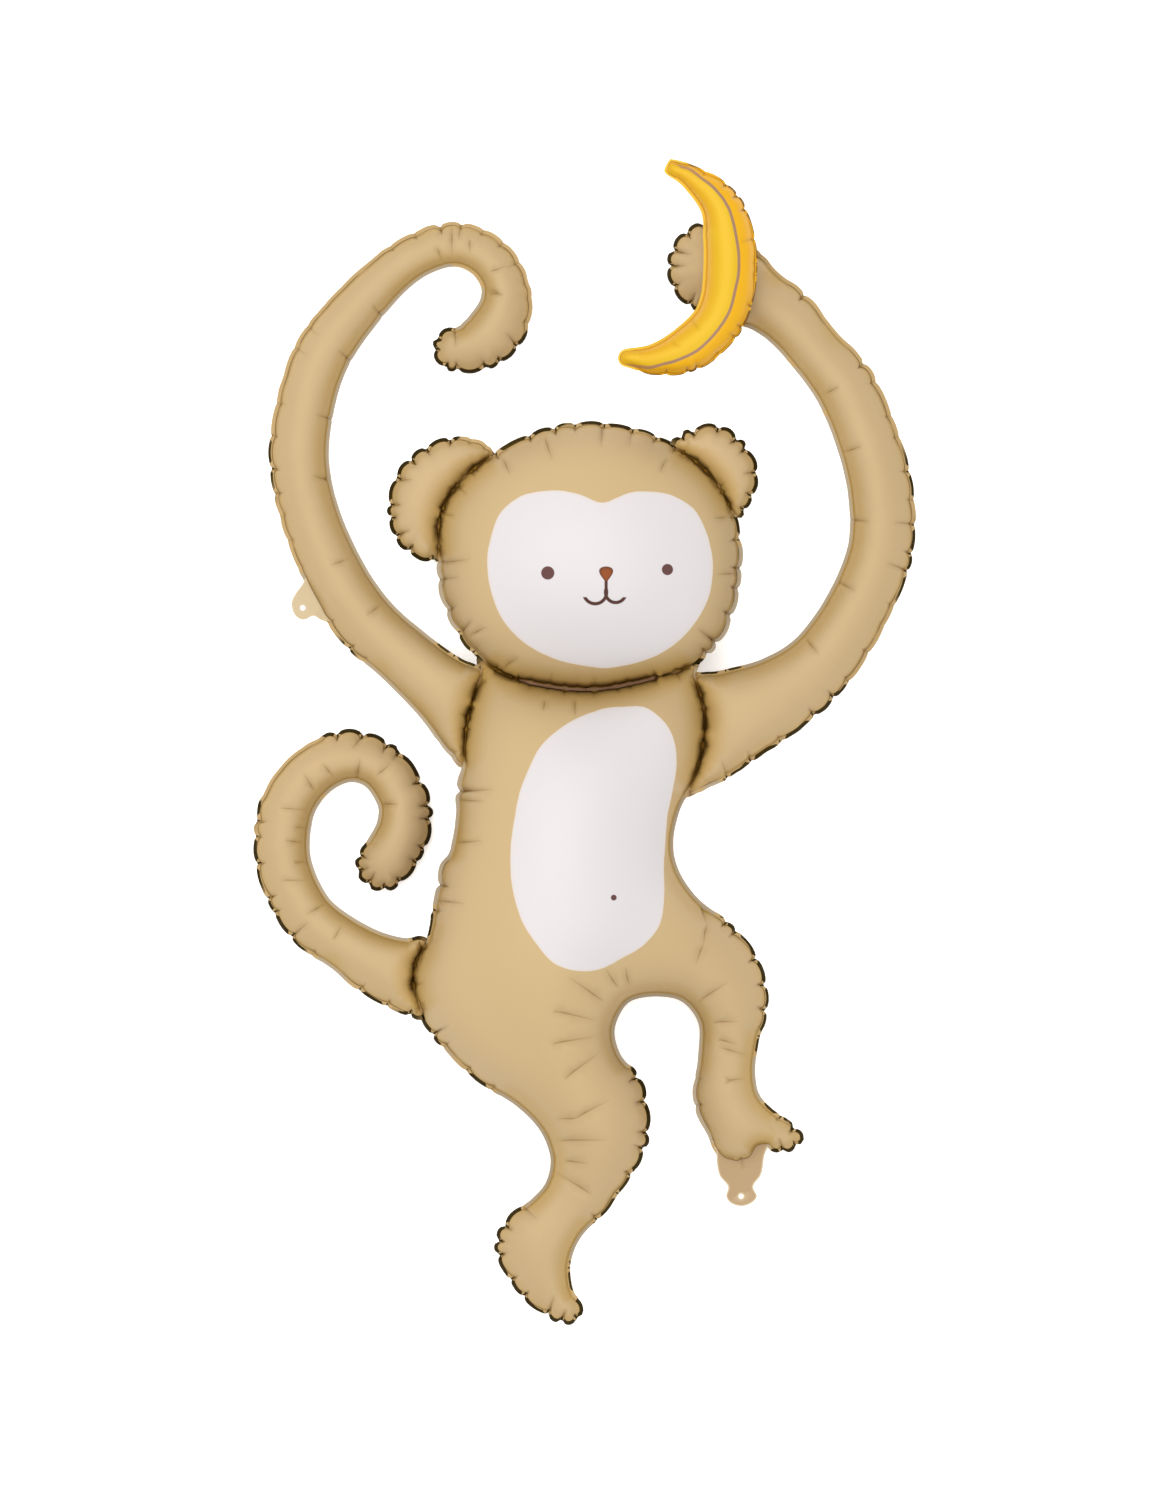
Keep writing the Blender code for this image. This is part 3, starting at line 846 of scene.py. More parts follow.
# Limbs: their middle line's x and y and the half-width there, from the root inside the body to the tip
leftArm = (
    (500, 735, 46), (471, 711, 41), (438, 685, 31), (402, 654, 27), (367, 622, 27), (337, 578, 26.5),
    (311, 516, 25), (300, 457, 25), (308, 397, 24.5), (325, 351, 24), (359, 306, 21.5), (397, 269, 18.5),
    (431, 250, 17.5), (461, 246, 17.5), (487, 258, 18), (503, 281, 19), (505, 307, 22), (493, 332, 24.5),
    (473, 346, 21), (456, 349, 17),
)
rightArm = (
    (660, 745, 54), (700, 729, 52), (738, 714, 43), (781, 693, 35), (820, 662, 30), (855, 611, 28),
    (879, 552, 28), (880, 495, 28), (867, 441, 27), (844, 388, 26), (813, 348, 24), (785, 317, 25),
    (755, 295, 28), (737, 280, 31), (714, 268, 41),
)
tail = (
    (450, 980, 38), (420, 977, 35), (385, 967, 29), (348, 946, 23.5), (310, 917, 23), (288, 876, 23),
    (283, 840, 23), (291, 800, 23), (316, 770, 22), (349, 757, 21), (381, 768, 20), (402, 799, 21),
    (403, 828, 22.5), (392, 852, 23), (383, 864, 21),
)

# Flat film past the edge, each with a hole: the hanging tab on the arm and the filling tail under the foot
hangingTab = (
    (312, 578), (300, 588), (292, 602), (295, 615), (304, 620), (314, 616), (328, 621), (345, 606),
)
fillingTail = (
    (716, 1128), (716, 1152), (719, 1174), (728, 1186), (726, 1196), (731, 1203), (741, 1206),
    (751, 1203), (757, 1196), (753, 1186), (761, 1174), (764, 1157), (768, 1130),
)
tabHoles = ((303, 608), (741, 1196))

# Gates left in the inner welds for the air: x, y, radius
airGates = (
    (439, 513, 5.5), (741, 487, 5.0), (471, 704, 6.0), (706, 735, 6.5), (414, 973, 6.0), (515, 681, 5.0),
    (659, 679, 5.0),
)

# Creases that show on the front: both ends, and how deep against the usual
creases = (
    (555, 1010, 600, 1020, 1.0), (552, 1043, 598, 1035, 1.0), (565, 1078, 602, 1050, 1.2),
    (575, 1118, 611, 1098, 1.2), (575, 1118, 555, 1118, 0.8), (560, 1140, 610, 1139, 1.0),
    (565, 1160, 590, 1163, 0.8), (590, 1193, 553, 1170, 1.2), (603, 1000, 568, 975, 1.3),
    (617, 985, 605, 967, 1.1), (629, 983, 625, 965, 1.0), (702, 905, 707, 925, 1.2),
    (707, 925, 703, 945, 1.2), (703, 945, 695, 965, 0.9), (700, 1000, 730, 980, 0.8),
    (715, 1022, 740, 1021, 0.9), (718, 1039, 740, 1045, 0.9), (722, 1048, 748, 1055, 0.9),
    (728, 1080, 745, 1078, 0.8), (462, 800, 486, 801, 0.8), (458, 842, 484, 840, 0.8),
    (440, 900, 466, 903, 0.9), (575, 700, 575, 716, 0.9), (545, 700, 543, 712, 0.8),
    (545, 440, 553, 462, 1.1), (602, 425, 601, 450, 1.0), (503, 460, 511, 477, 1.1),
    (665, 462, 659, 475, 0.9), (443, 563, 472, 560, 1.1), (472, 635, 488, 627, 1.0),
    (505, 667, 520, 657, 0.9), (725, 518, 712, 519, 0.8), (735, 574, 715, 575, 0.9),
    (470, 470, 477, 480, 0.8), (447, 515, 456, 517, 0.8), (452, 232, 452, 258, 1.0),
    (470, 240, 470, 255, 0.8), (490, 272, 508, 266, 0.9), (490, 290, 505, 296, 0.9),
    (315, 790, 303, 772, 1.1), (332, 775, 322, 762, 0.9), (357, 778, 361, 757, 1.1),
    (378, 775, 393, 762, 1.0), (383, 804, 400, 804, 1.0), (300, 842, 285, 840, 1.0),
    (322, 905, 305, 915, 0.9), (330, 480, 312, 476, 0.9), (334, 420, 316, 415, 0.9),
    (352, 362, 338, 350, 0.9), (384, 318, 372, 305, 0.9), (346, 560, 330, 566, 0.9),
    (380, 606, 366, 616, 0.9), (826, 394, 840, 386, 0.9), (846, 452, 862, 446, 0.9),
    (850, 520, 870, 522, 0.9), (838, 582, 856, 592, 0.9), (806, 640, 820, 656, 0.9),
    (281, 808, 309, 810, 0.6), (283, 880, 309, 880, 0.6), (295, 827, 310, 828, 0.5),
    (295, 862, 309, 862, 0.6), (335, 937, 343, 923, 0.7), (438, 249, 442, 262, 0.8),
    (490, 293, 505, 296, 0.8),
)

monkeyPattern = newPattern(
    monkey["seamWidth"],
    flats=[smoothLine(placed(tab), monkey["seamStep"], closed=True) for tab in (hangingTab, fillingTail)],
    holes=[holeOutline(centre, monkey["holeRadius"]) for centre in tabHoles],
    gates=airGates)
for drawnSeam, fullness in ((headSeam, "headFullness"), (bodySeam, "bodyFullness"),
                            (leftEarSeam, "earFullness"), (rightEarSeam, "earFullness")):
    addLobe(monkeyPattern, smoothLine(placed(drawnSeam), monkey["seamStep"], closed=True), monkey[fullness])
for stations in (leftArm, rightArm, tail):
    addLobe(monkeyPattern, limbSeam(stations, monkey["seamStep"]), monkey["limbFullness"])

# The banana

banana = {
    "seamWidth": 0.004,
    "film": 0.0005,
    "fullness": 0.97,
    "seamStep": 0.0022,
    "rings": ((0.0012, 0.0022), (0.0030, 0.0024), (0.0055, 0.0026), (0.0085, 0.0030)),
    "fieldStep": 0.0038,
    "foldStep": 0.0025,
    "foldGap": 0.0012,
    "planeSpan": 0.006,
    "straight": 0.10,
    "perBend": 0.060,
    "least": 0.03,
    "welded": 0.4,
    "bendSpan": 0.014,
    "pitch": 0.030,
    "pitchPerBend": 0.030,
    "uneven": 0.30,
    "foldLength": 0.012,
    "shorterPerBend": 0.03,
    "pinchDepth": 0.0026,
    "foldWidth": 0.0019,
    "foldWiden": 0.07,
    "creaseDepth": 0.0012,
    "scallop": 0.0026,
    "wave": 0.0012,
    "pillow": 0.0009,
    "turnDown": 50.0,
    "rimFold": 0.0015,
    "overWeld": 0.0,
    "narrowed": 0.1,
    "flatRims": (),
    "rimTurns": ((755, 266, 24, 0.45), (654, 373, 15, 0.5)),
    "openWelds": (),
    "spots": ((669, 168, 16, 0.12), (627, 359, 16, 0.12)),
    "handGap": 0.0003,
    "handMargin": 0.012,
}
bananaStations = (
    (669, 168, 5), (692, 180, 9.5), (719.5, 206, 17.5), (728.5, 239, 22.5), (729.5, 275, 23.5),
    (725.5, 304, 23), (713, 328, 21.5), (687, 350, 20), (656, 360, 13), (627, 359, 6),
)
bananaCreases = ((703, 222, 707, 236, 1.2), (692, 322, 700, 334, 1.0), (672, 344, 682, 350, 0.8))
bananaPattern = newPattern(banana["seamWidth"])
addLobe(bananaPattern, limbSeam(bananaStations, banana["seamStep"]), banana["fullness"])

# The hand stays under the banana
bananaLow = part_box("banana_balloon")[0]
handTop = (grown(bananaPattern["edges"][0], banana["handMargin"]), bananaLow[2] - banana["handGap"])

monkeyFilm, monkeyPlan = envelope(
    "MonkeyEnvelope", monkeyPattern, monkey, creases, "monkey_balloon", topLimit=handTop)
bananaFilm, bananaPlan = envelope(
    "BananaEnvelope", bananaPattern, banana, bananaCreases, "banana_balloon", bottomLimit=bananaLow[2])

# Prints, as distances to their outlines
facePatch = (
    (500, 515), (520, 498), (540, 493), (560, 492), (580, 496), (601, 504.5), (615, 500), (630, 494),
    (650, 493), (670, 496), (690, 507), (700, 520), (708, 540), (712, 560), (712, 575), (709, 595),
    (700, 615), (685, 635), (665, 651), (640, 662), (610, 668), (590, 667), (560, 661), (535, 650),
    (515, 635), (500, 615), (491, 590), (488, 570), (488, 555), (491, 540),
)
bellyPatch = (
    (623, 707), (643, 707), (658, 716), (669, 729), (675, 746), (676, 767), (672, 792), (667, 817),
    (665, 843), (663.5, 868), (664, 893), (661, 919), (653, 934), (638, 948), (620, 958), (603, 967),
    (585, 970), (565, 967), (549.5, 958), (534, 939), (522, 919), (514, 893), (511, 868), (511.5, 843),
    (515, 817), (520, 792), (529, 769), (539, 749), (552, 735), (572, 721), (593, 712), (608, 708),
)
ridgeLine = (
    (680, 168), (690, 172), (710, 187), (722, 200), (730, 215), (735, 235), (738, 255), (738, 275),
    (735, 290), (730, 310), (722, 325), (710, 340), (695, 353), (675, 362), (655, 367), (640, 368),
    (628, 366),
)

printSteps = {"patch": 0.0012, "ridge": 0.0008}


def printOutline(points, drawn):
    # distance inside a closed line, negative outside it
    outline = smoothLine(placed(drawn), printSteps["patch"], closed=True)
    distance = nearest(points, lineTree(outline))[1]
    return np.where(insideOf(points, outline), distance, -distance)


def printLine(points, drawn):
    # signed distance to an open line, positive on its right
    line = smoothLine(placed(drawn), printSteps["ridge"], closed=False)
    at, distance = nearest(points, lineTree(line))
    way = np.gradient(line, axis=0)[at]
    step = points - line[at]
    return distance * np.sign(way[:, 1] * step[:, 0] - way[:, 0] * step[:, 1])


noPrint = np.full(len(monkeyPlan), -1.0)
for printName, patch in (("facePrint", facePatch), ("bellyPrint", bellyPatch)):
    setAttribute(monkeyFilm, printName, printOutline(monkeyPlan, patch), noPrint)
onTab = sum(insideOf(monkeyPlan, tab).astype(float) for tab in monkeyPattern["flats"])
setAttribute(monkeyFilm, "onTab", onTab)
tabLines = np.vstack([*monkeyPattern["flats"], *monkeyPattern["holes"]])
setAttribute(monkeyFilm, "tabEdge", nearest(monkeyPlan, lineTree(tabLines))[1])
setAttribute(bananaFilm, "ridgePrint", printLine(bananaPlan, ridgeLine), np.full(len(bananaPlan), 1.0))
print("envelopes:", len(monkeyFilm.data.polygons), "and", len(bananaFilm.data.polygons), "triangles")


# Shader helpers

def connect(tree, node, values):
    for key, value in values.items():
        if isinstance(value, bpy.types.NodeSocket):
            tree.links.new(value, node.inputs[key])
        else:
            node.inputs[key].default_value = value


def addNode(tree, kind, values, **settings):
    node = tree.nodes.new(kind)
    for key, value in settings.items():
        setattr(node, key, value)
    connect(tree, node, values)
    return node


def maths(tree, operation, a, b=0.0, c=0.0, clamp=False):
    node = addNode(tree, "ShaderNodeMath", {0: a, 1: b, 2: c}, operation=operation, use_clamp=clamp)
    return node.outputs[0]


def times(tree, first, *others):
    for other in others:
        first = maths(tree, "MULTIPLY", first, other)
    return first


def softStep(tree, value, low, high):
    # 0 below low and 1 above high
    node = addNode(tree, "ShaderNodeMapRange", {"Value": value, "From Min": low, "From Max": high},
                   interpolation_type="SMOOTHSTEP")
    return node.outputs["Result"]


def blend(tree, factor, a, b):
    node = addNode(tree, "ShaderNodeMix", {0: factor, 6: a, 7: b}, data_type="RGBA", clamp_factor=True)
    return node.outputs[2]


def helpersFor(tree):
    # maths, times, softStep and blend, for one tree
    return [partial(helper, tree) for helper in (maths, times, softStep, blend)]


def attribute(tree, key):
    node = addNode(tree, "ShaderNodeAttribute", {}, attribute_name=key, attribute_type="GEOMETRY")
    return node.outputs["Fac"]


def objectPlace(tree):
    return addNode(tree, "ShaderNodeTexCoord", {}).outputs["Object"]


def newGroup(name, inputs, outputs):
    # inputs with their usual values, four numbers being a colour, and outputs by name
    group = bpy.data.node_groups.new(name, "ShaderNodeTree")
    for key, value in inputs.items():
        kind = "NodeSocketColor" if isinstance(value, tuple) else "NodeSocketFloat"
        group.interface.new_socket(name=key, in_out="INPUT", socket_type=kind).default_value = value
    for key in outputs:
        kind = "NodeSocketColor" if key == "Color" else "NodeSocketFloat"
        group.interface.new_socket(name=key, in_out="OUTPUT", socket_type=kind)
    return group, group.nodes.new("NodeGroupInput").outputs, group.nodes.new("NodeGroupOutput")


def useGroup(tree, group, values):
    return addNode(tree, "ShaderNodeGroup", values, node_tree=group).outputs


# The metallised film's own texture: a fine grain, small blotches and slow cloudy change
filmTexture = {
    "grainSize": 900.0,
    "cloudSize": 9.0,
    "blotchSize": 46.0,
    "blotchRoughness": 0.4,
    "grainHeight": 0.06,
}


def filmGrainGroup():
    group, given, made = newGroup(
        "filmGrain", {"Grain Size": filmTexture["grainSize"], "Cloud Size": filmTexture["cloudSize"]},
        ("Cloud", "Blotch", "Grain", "Height"))
    where = objectPlace(group)

    def noise(scale, detail, roughness=0.5):
        values = {"Vector": where, "Scale": scale, "Detail": detail, "Roughness": roughness}
        return addNode(group, "ShaderNodeTexNoise", values).outputs["Fac"]

    cloud = noise(given["Cloud Size"], 3.0)
    grain = noise(given["Grain Size"], 2.0)
    blotch = noise(filmTexture["blotchSize"], 2.0, filmTexture["blotchRoughness"])
    height = maths(group, "MULTIPLY_ADD", grain, filmTexture["grainHeight"], blotch)
    connect(group, made, {"Cloud": cloud, "Blotch": blotch, "Grain": grain, "Height": height})
    return group


# What the seam does to the film's colour, with painted light and shade: painted golden shade beside it, the
# pale flat rim, partly its own colour and partly a painted reflection, painted dark arcs for the turned rim,
# and painted shade in the welds and creases. Each band runs from none of an effect to all of it, and bands
# of distance are in metres from the seam.
seamBands = {
    "hollow": (0.03, -0.05),
    "onRim": (0.0004, 0.0016),
    "turned": (0.28, 0.42),
    "warmRim": (0.10, 0.22),
    "tabStart": (0.0062, 0.0072),
    "lateArc": (0.70, 0.42),
    "arcEdge": (-0.0005, 0.0006),
    "offFilm": (0.0, 0.0003),
    "lineStart": (0.0001, 0.0005),
    "lineEnd": (0.0009, 0.0020),
    "lineBend": (-0.02, 0.03),
    "lineBlotch": (0.20, 0.55),
    "opened": (0.10, 0.40),
    "above": (0.60, 0.95),
    "uneven": (0.36, 0.62),
    "patchy": (0.20, 0.44),
    "strip": (0.0008, 0.0017),
    "stripBlotch": (0.44, 0.34),
}
seamReach = {
    "shade": 0.010,
    "shadeInHollow": 0.008,  # more of it where the seam curves inwards, and again at a weld
    "grooveShade": 0.0018,
    "grooveInBlotch": 0.0054,
    "arcLow": 0.0003,  # where an arc begins half-way between two pinches
    "arcHigh": 0.0068,  # and at a pinch
    "arcLater": 0.0024,
}
seamStrength = {
    "shade": 0.48,
    "shadeInHollow": 0.30,
    "shadePower": 1.4,
    "warm": 0.25,
    "arcCloud": 0.10,
    "arcTips": (0.10, 0.25),
    "line": 0.75,
    "grooveShade": 0.94,
    "strip": 0.75,
    "stripOpen": 0.15,
    "crease": 0.90,
}


def seamToneGroup():
    # the shade, groove and turned colours are painted shade, and the rim colour is partly a painted
    # reflection
    colours = {
        "Film": (0.6, 0.4, 0.2, 1), "Shade": (0.4, 0.25, 0.08, 1), "Rim": (0.7, 0.6, 0.5, 1),
        "Tab": (0.6, 0.5, 0.3, 1), "Groove Shade": (0.06, 0.03, 0.0, 1), "Turned": (0.05, 0.03, 0.01, 1),
        "Strip": (0.3, 0.17, 0.1, 1),
    }
    places = dict.fromkeys(("Phase", "Turn", "In", "Out", "Bend", "Weld", "Crease Shade", "On Tab", "Open"), 0.0)
    group, given, made = newGroup(
        "seamToneAndShade", {**colours, **places, "Cloud": 0.5, "Blotch": 0.5}, ("Color", "PaintedShade"))
    calc, times, step, mix = helpersFor(group)
    reach, strength = seamReach, seamStrength

    def band(name, value):
        return step(value, *seamBands[name])

    def fading(distance, over):
        # 1 at no distance and 0 from there on
        return calc("SUBTRACT", 1.0, calc("DIVIDE", distance, over), clamp=True)

    # painted golden shade just inside the seam, wider and deeper where the seam curves inwards
    weld = given["Weld"]
    hollow = calc("MAXIMUM", band("hollow", given["Bend"]), weld)
    wide = calc("MULTIPLY_ADD", hollow, reach["shadeInHollow"], reach["shade"])
    wide = calc("MULTIPLY_ADD", weld, reach["shadeInHollow"], wide)
    near = calc("POWER", fading(given["In"], wide), strength["shadePower"])
    deep = calc("MULTIPLY_ADD", hollow, strength["shadeInHollow"], strength["shade"])
    colour = mix(times(near, deep), given["Film"], given["Shade"])

    # the flat rim, pale where it lies flat, partly its own colour and partly a painted reflection, and like
    # the film with a little painted shade where it is turned back
    free = calc("SUBTRACT", 1.0, weld, clamp=True)
    warm = mix(strength["warm"], given["Film"], given["Shade"])
    rim = mix(band("warmRim", given["Turn"]), given["Rim"], warm)
    rim = mix(given["On Tab"], rim, given["Tab"])
    rim = mix(band("tabStart", given["Out"]), rim, given["Tab"])
    colour = mix(times(band("onRim", given["Out"]), free), colour, rim)

    # painted dark arcs between the pinches, the shade and dark reflection of the turned rim, tapering to
    # their ends
    arch = calc("MINIMUM", given["Phase"], calc("SUBTRACT", 1.0, given["Phase"]))
    arch = calc("MULTIPLY_ADD", given["Cloud"], strength["arcCloud"], arch)
    fromTip, toMiddle = strength["arcTips"]
    start = addNode(group, "ShaderNodeMapRange", {
        "Value": arch, "From Min": fromTip, "From Max": toMiddle,
        "To Min": reach["arcHigh"], "To Max": reach["arcLow"]}).outputs["Result"]
    start = calc("MULTIPLY_ADD", band("lateArc", given["Turn"]), reach["arcLater"], start)
    arcShade = band("arcEdge", calc("SUBTRACT", given["Out"], start))
    arcShade = times(arcShade, band("turned", given["Turn"]), free, band("offFilm", given["Out"]))

    # elsewhere a thin painted shade line where the film meets the rim, unless the seam curves inwards
    line = calc("SUBTRACT", band("lineStart", given["Out"]), band("lineEnd", given["Out"]))
    where = times(band("lineBend", given["Bend"]), band("lineBlotch", given["Blotch"]))
    line = times(line, free, calc("MAXIMUM", where, given["On Tab"]), strength["line"])
    colour = mix(line, colour, given["Groove Shade"])

    # painted shade in the welds between two lobes, darkest in the groove, and even and open under the chin;
    # the flat weld strip over it keeps its own colour
    opened = band("opened", given["Open"])
    uneven = calc("SUBTRACT", band("uneven", given["Blotch"]), opened, clamp=True)
    uneven = calc("MAXIMUM", uneven, band("above", given["Open"]))
    wide = calc("MULTIPLY_ADD", uneven, reach["grooveInBlotch"], reach["grooveShade"])
    patchy = calc("MAXIMUM", band("patchy", given["Blotch"]), opened)
    grooveShade = times(calc("POWER", fading(given["In"], wide), 2.0), weld, patchy)
    colour = mix(times(grooveShade, strength["grooveShade"]), colour, given["Groove Shade"])
    shown = calc("MAXIMUM", band("stripBlotch", given["Blotch"]), opened)
    lasting = calc("MULTIPLY_ADD", opened, strength["stripOpen"], strength["strip"])
    strip = times(band("strip", given["Out"]), weld, shown, lasting)
    colour = mix(strip, colour, given["Strip"])

    # painted shade along the creases, a mix of the groove and shade colours
    creaseShadeTone = mix(strength["warm"], given["Groove Shade"], given["Shade"])
    colour = mix(times(given["Crease Shade"], strength["crease"]), colour, creaseShadeTone)
    # the painted dark arcs go on last
    colour = mix(arcShade, colour, given["Turned"])
    # the mask of painted shade: the dark arcs and the welds' painted shade
    paintedShade = calc("MAXIMUM", arcShade, calc("SUBTRACT", grooveShade, strip, clamp=True), clamp=True)
    connect(group, made, {"Color": colour, "PaintedShade": paintedShade})
    return group


filmGrain = filmGrainGroup()
seamToneAndShade = seamToneGroup()

monkeyLooks = {
    "film": (0.354, 0.256, 0.133, 1.0),
    "filmWarm": (0.364, 0.260, 0.137, 1.0),
    # painted light on the highest lobes
    "filmPaintedLight": (0.392, 0.284, 0.145, 1.0),
    # painted golden shade beside the seams
    "shade": (0.315, 0.185, 0.028, 1.0),
    # the flat rim's pale colour, partly its own and partly a painted reflection
    "rim": (0.292, 0.236, 0.160, 1.0),
    "strip": (0.290, 0.165, 0.100, 1.0),
    "tab": (0.400, 0.315, 0.190, 1.0),
    # darker, partly for its double film and partly as painted shade
    "fillingTail": (0.300, 0.205, 0.110, 1.0),
    "tabRim": (0.420, 0.335, 0.220, 1.0),
    # painted shade in the welds, along the seam line and in the creases
    "grooveShade": (0.078, 0.032, 0.001, 1.0),
    # painted dark arcs of the turned rim
    "turned": (0.032, 0.020, 0.003, 1.0),
    "print": (0.470, 0.443, 0.446, 1.0),
    "printRim": (0.480, 0.432, 0.400, 1.0),
    "ink": (0.085, 0.038, 0.035, 1.0),
    "nose": (0.190, 0.048, 0.012, 1.0),
    "noseEdge": (0.080, 0.026, 0.010, 1.0),
    "mouth": (0.055, 0.020, 0.015, 1.0),
    "metallic": 0.08,
    # metallic under the painted shade
    "paintedShadeMetallic": 0.75,
    "specular": 0.12,
    "roughness": 0.52,
    "roughGrain": 0.16,
    "printRoughness": 0.50,
    "bump": 0.0006,
    # bands on the balloon, in metres
    "cloudBand": (0.35, 0.65),
    "paintedLightBand": (0.030, 0.075),
    "tailBand": (-0.40, -0.44),
    "tabRimBand": (0.0022, 0.0008),
    "printBand": (-0.0004, 0.0004),
    "printRimBand": (0.0004, 0.0042),
    "discBand": (0.0004, -0.0004),
    # the face, drawn: circles are x, y and radius
    "eyes": ((548, 574, 6.6), (667, 570.5, 5.6)),
    "navel": (613.6, 896.7, 2.9),
    "nosePlace": (606, 574.5),
    "noseSize": (6.5, 7.6),
    "noseRise": 0.7,
    "noseTaper": 0.49,
    "noseBand": (1.12, 0.88),
    "noseEdgeBand": (0.15, 1.05),
    "stemSide": (2.1, 1.1),
    "stemTop": (-4.5, -5.5),
    "stemEnd": (-18.5, -17.0),
    "smile": ((595.1, 593.2, 11.4), (615.5, 593.3, 10.1)),
    "smileSide": (2.2, 1.2),
    "smileTop": (4.4, 5.2),
    "smileInner": (9.0, 5.0),
    "smileInnerRise": 8.5,
}
bananaLooks = {
    "panel": (0.490, 0.300, 0.008, 1.0),
    # darker orange, painted shade of the foil's side
    "sides": (0.560, 0.290, 0.003, 1.0),
    # painted orange shade beside the seams
    "shade": (0.480, 0.215, 0.002, 1.0),
    "rim": (0.520, 0.320, 0.020, 1.0),
    "strip": (0.520, 0.320, 0.020, 1.0),
    # painted shade in the seam line and the creases
    "grooveShade": (0.18, 0.070, 0.002, 1.0),
    # painted dark arcs of the turned rim
    "turned": (0.14, 0.060, 0.002, 1.0),
    "line": (0.24, 0.138, 0.080, 1.0),
    "metallic": 0.08,
    "specular": 0.20,
    "roughness": 0.46,
    "roughGrain": 0.14,
    "bump": 0.0005,
    "sideBand": (-0.001, 0.001),
    "lineBand": (0.0021, 0.0012),
}
bumpStrength = 0.35


def filmMaterial(name):
    material = bpy.data.materials.new(name)
    material.use_nodes = True
    tree = material.node_tree
    return material, tree, useGroup(tree, filmGrain, {})


def seamTones(tree, looks, film, tab, grain):
    read = partial(attribute, tree)
    return useGroup(tree, seamToneAndShade, {
        "Film": film, "Shade": looks["shade"], "Rim": looks["rim"], "Tab": tab, "Strip": looks["strip"],
        "Groove Shade": looks["grooveShade"], "Turned": looks["turned"], "Phase": read("seamPhase"),
        "Turn": read("seamTurned"), "In": read("seamIn"), "Out": read("seamOut"), "Bend": read("seamBend"),
        "Weld": read("weldSide"), "Crease Shade": read("creaseShadeLine"), "On Tab": read("onTab"),
        "Open": read("openWeld"), "Cloud": grain["Cloud"], "Blotch": grain["Blotch"]})


def grainRoughness(tree, looks, grain):
    uneven = maths(tree, "SUBTRACT", grain["Grain"], 0.5)
    return maths(tree, "MULTIPLY_ADD", uneven, looks["roughGrain"], looks["roughness"])


def finishFilm(tree, looks, colour, roughness, metallic, height):
    bump = addNode(tree, "ShaderNodeBump", {
        "Strength": bumpStrength, "Distance": looks["bump"], "Height": height})
    connect(tree, tree.nodes["Principled BSDF"], {
        "Base Color": colour, "Roughness": roughness, "Metallic": metallic, "Normal": bump.outputs["Normal"],
        "Specular IOR Level": looks["specular"]})


def faceMarks(tree, looks, where, parts):
    # eyes, navel, mouth and nose, drawn in the plan: a mask and a colour for each
    calc, times, step, mix = helpersFor(tree)

    def vectorMaths(operation, a, b):
        return addNode(tree, "ShaderNodeVectorMath", {0: a, 1: b}, operation=operation).outputs

    place = vectorMaths("MULTIPLY", where, (1.0, 1.0, 0.0))["Vector"]

    def drawnStep(value, band):
        # a band in drawn units
        return step(value, *(edge * unit for edge in band))

    def distanceTo(x, y):
        return vectorMaths("DISTANCE", place, (*placed((x, y)), 0.0))["Value"]

    def disc(x, y, radius):
        outer, inner = looks["discBand"]
        return step(distanceTo(x, y), radius * unit + outer, radius * unit + inner)

    leftEye, rightEye = (disc(*eye) for eye in looks["eyes"])
    eyes = calc("MAXIMUM", leftEye, rightEye)
    navel = disc(*looks["navel"])

    # nose: a round shape that narrows downwards
    noseX, noseY = placed(looks["nosePlace"]).tolist()
    across = calc("ABSOLUTE", calc("SUBTRACT", parts["X"], noseX))
    up = calc("SUBTRACT", parts["Y"], noseY)
    halfWidth, halfHeight = (half * unit for half in looks["noseSize"])
    wide = calc("DIVIDE", across, calc("MULTIPLY_ADD", up, looks["noseTaper"], halfWidth))
    tall = calc("DIVIDE", calc("ADD", up, looks["noseRise"] * unit), halfHeight)
    outline = calc("ADD", calc("POWER", wide, 2.0), calc("POWER", tall, 2.0))
    nose = step(outline, *looks["noseBand"])
    noseTone = mix(step(outline, *looks["noseEdgeBand"]), looks["nose"], looks["noseEdge"])

    # mouth: a short stem and two hooks
    mouth = times(drawnStep(across, looks["stemSide"]), drawnStep(up, looks["stemTop"]),
                  drawnStep(up, looks["stemEnd"]))
    inner = times(drawnStep(across, looks["smileInner"]), -looks["smileInnerRise"] * unit)
    under = calc("ADD", parts["Y"], inner)
    for x, y, radius in looks["smile"]:
        off = calc("ABSOLUTE", calc("SUBTRACT", distanceTo(x, y), radius * unit))
        top, low = (float(placed((x, y + drop))[1]) for drop in looks["smileTop"])
        hook = times(drawnStep(off, looks["smileSide"]), step(under, top, low))
        mouth = calc("MAXIMUM", mouth, hook)
    return (eyes, looks["ink"]), (navel, looks["ink"]), (mouth, looks["mouth"]), (nose, noseTone)


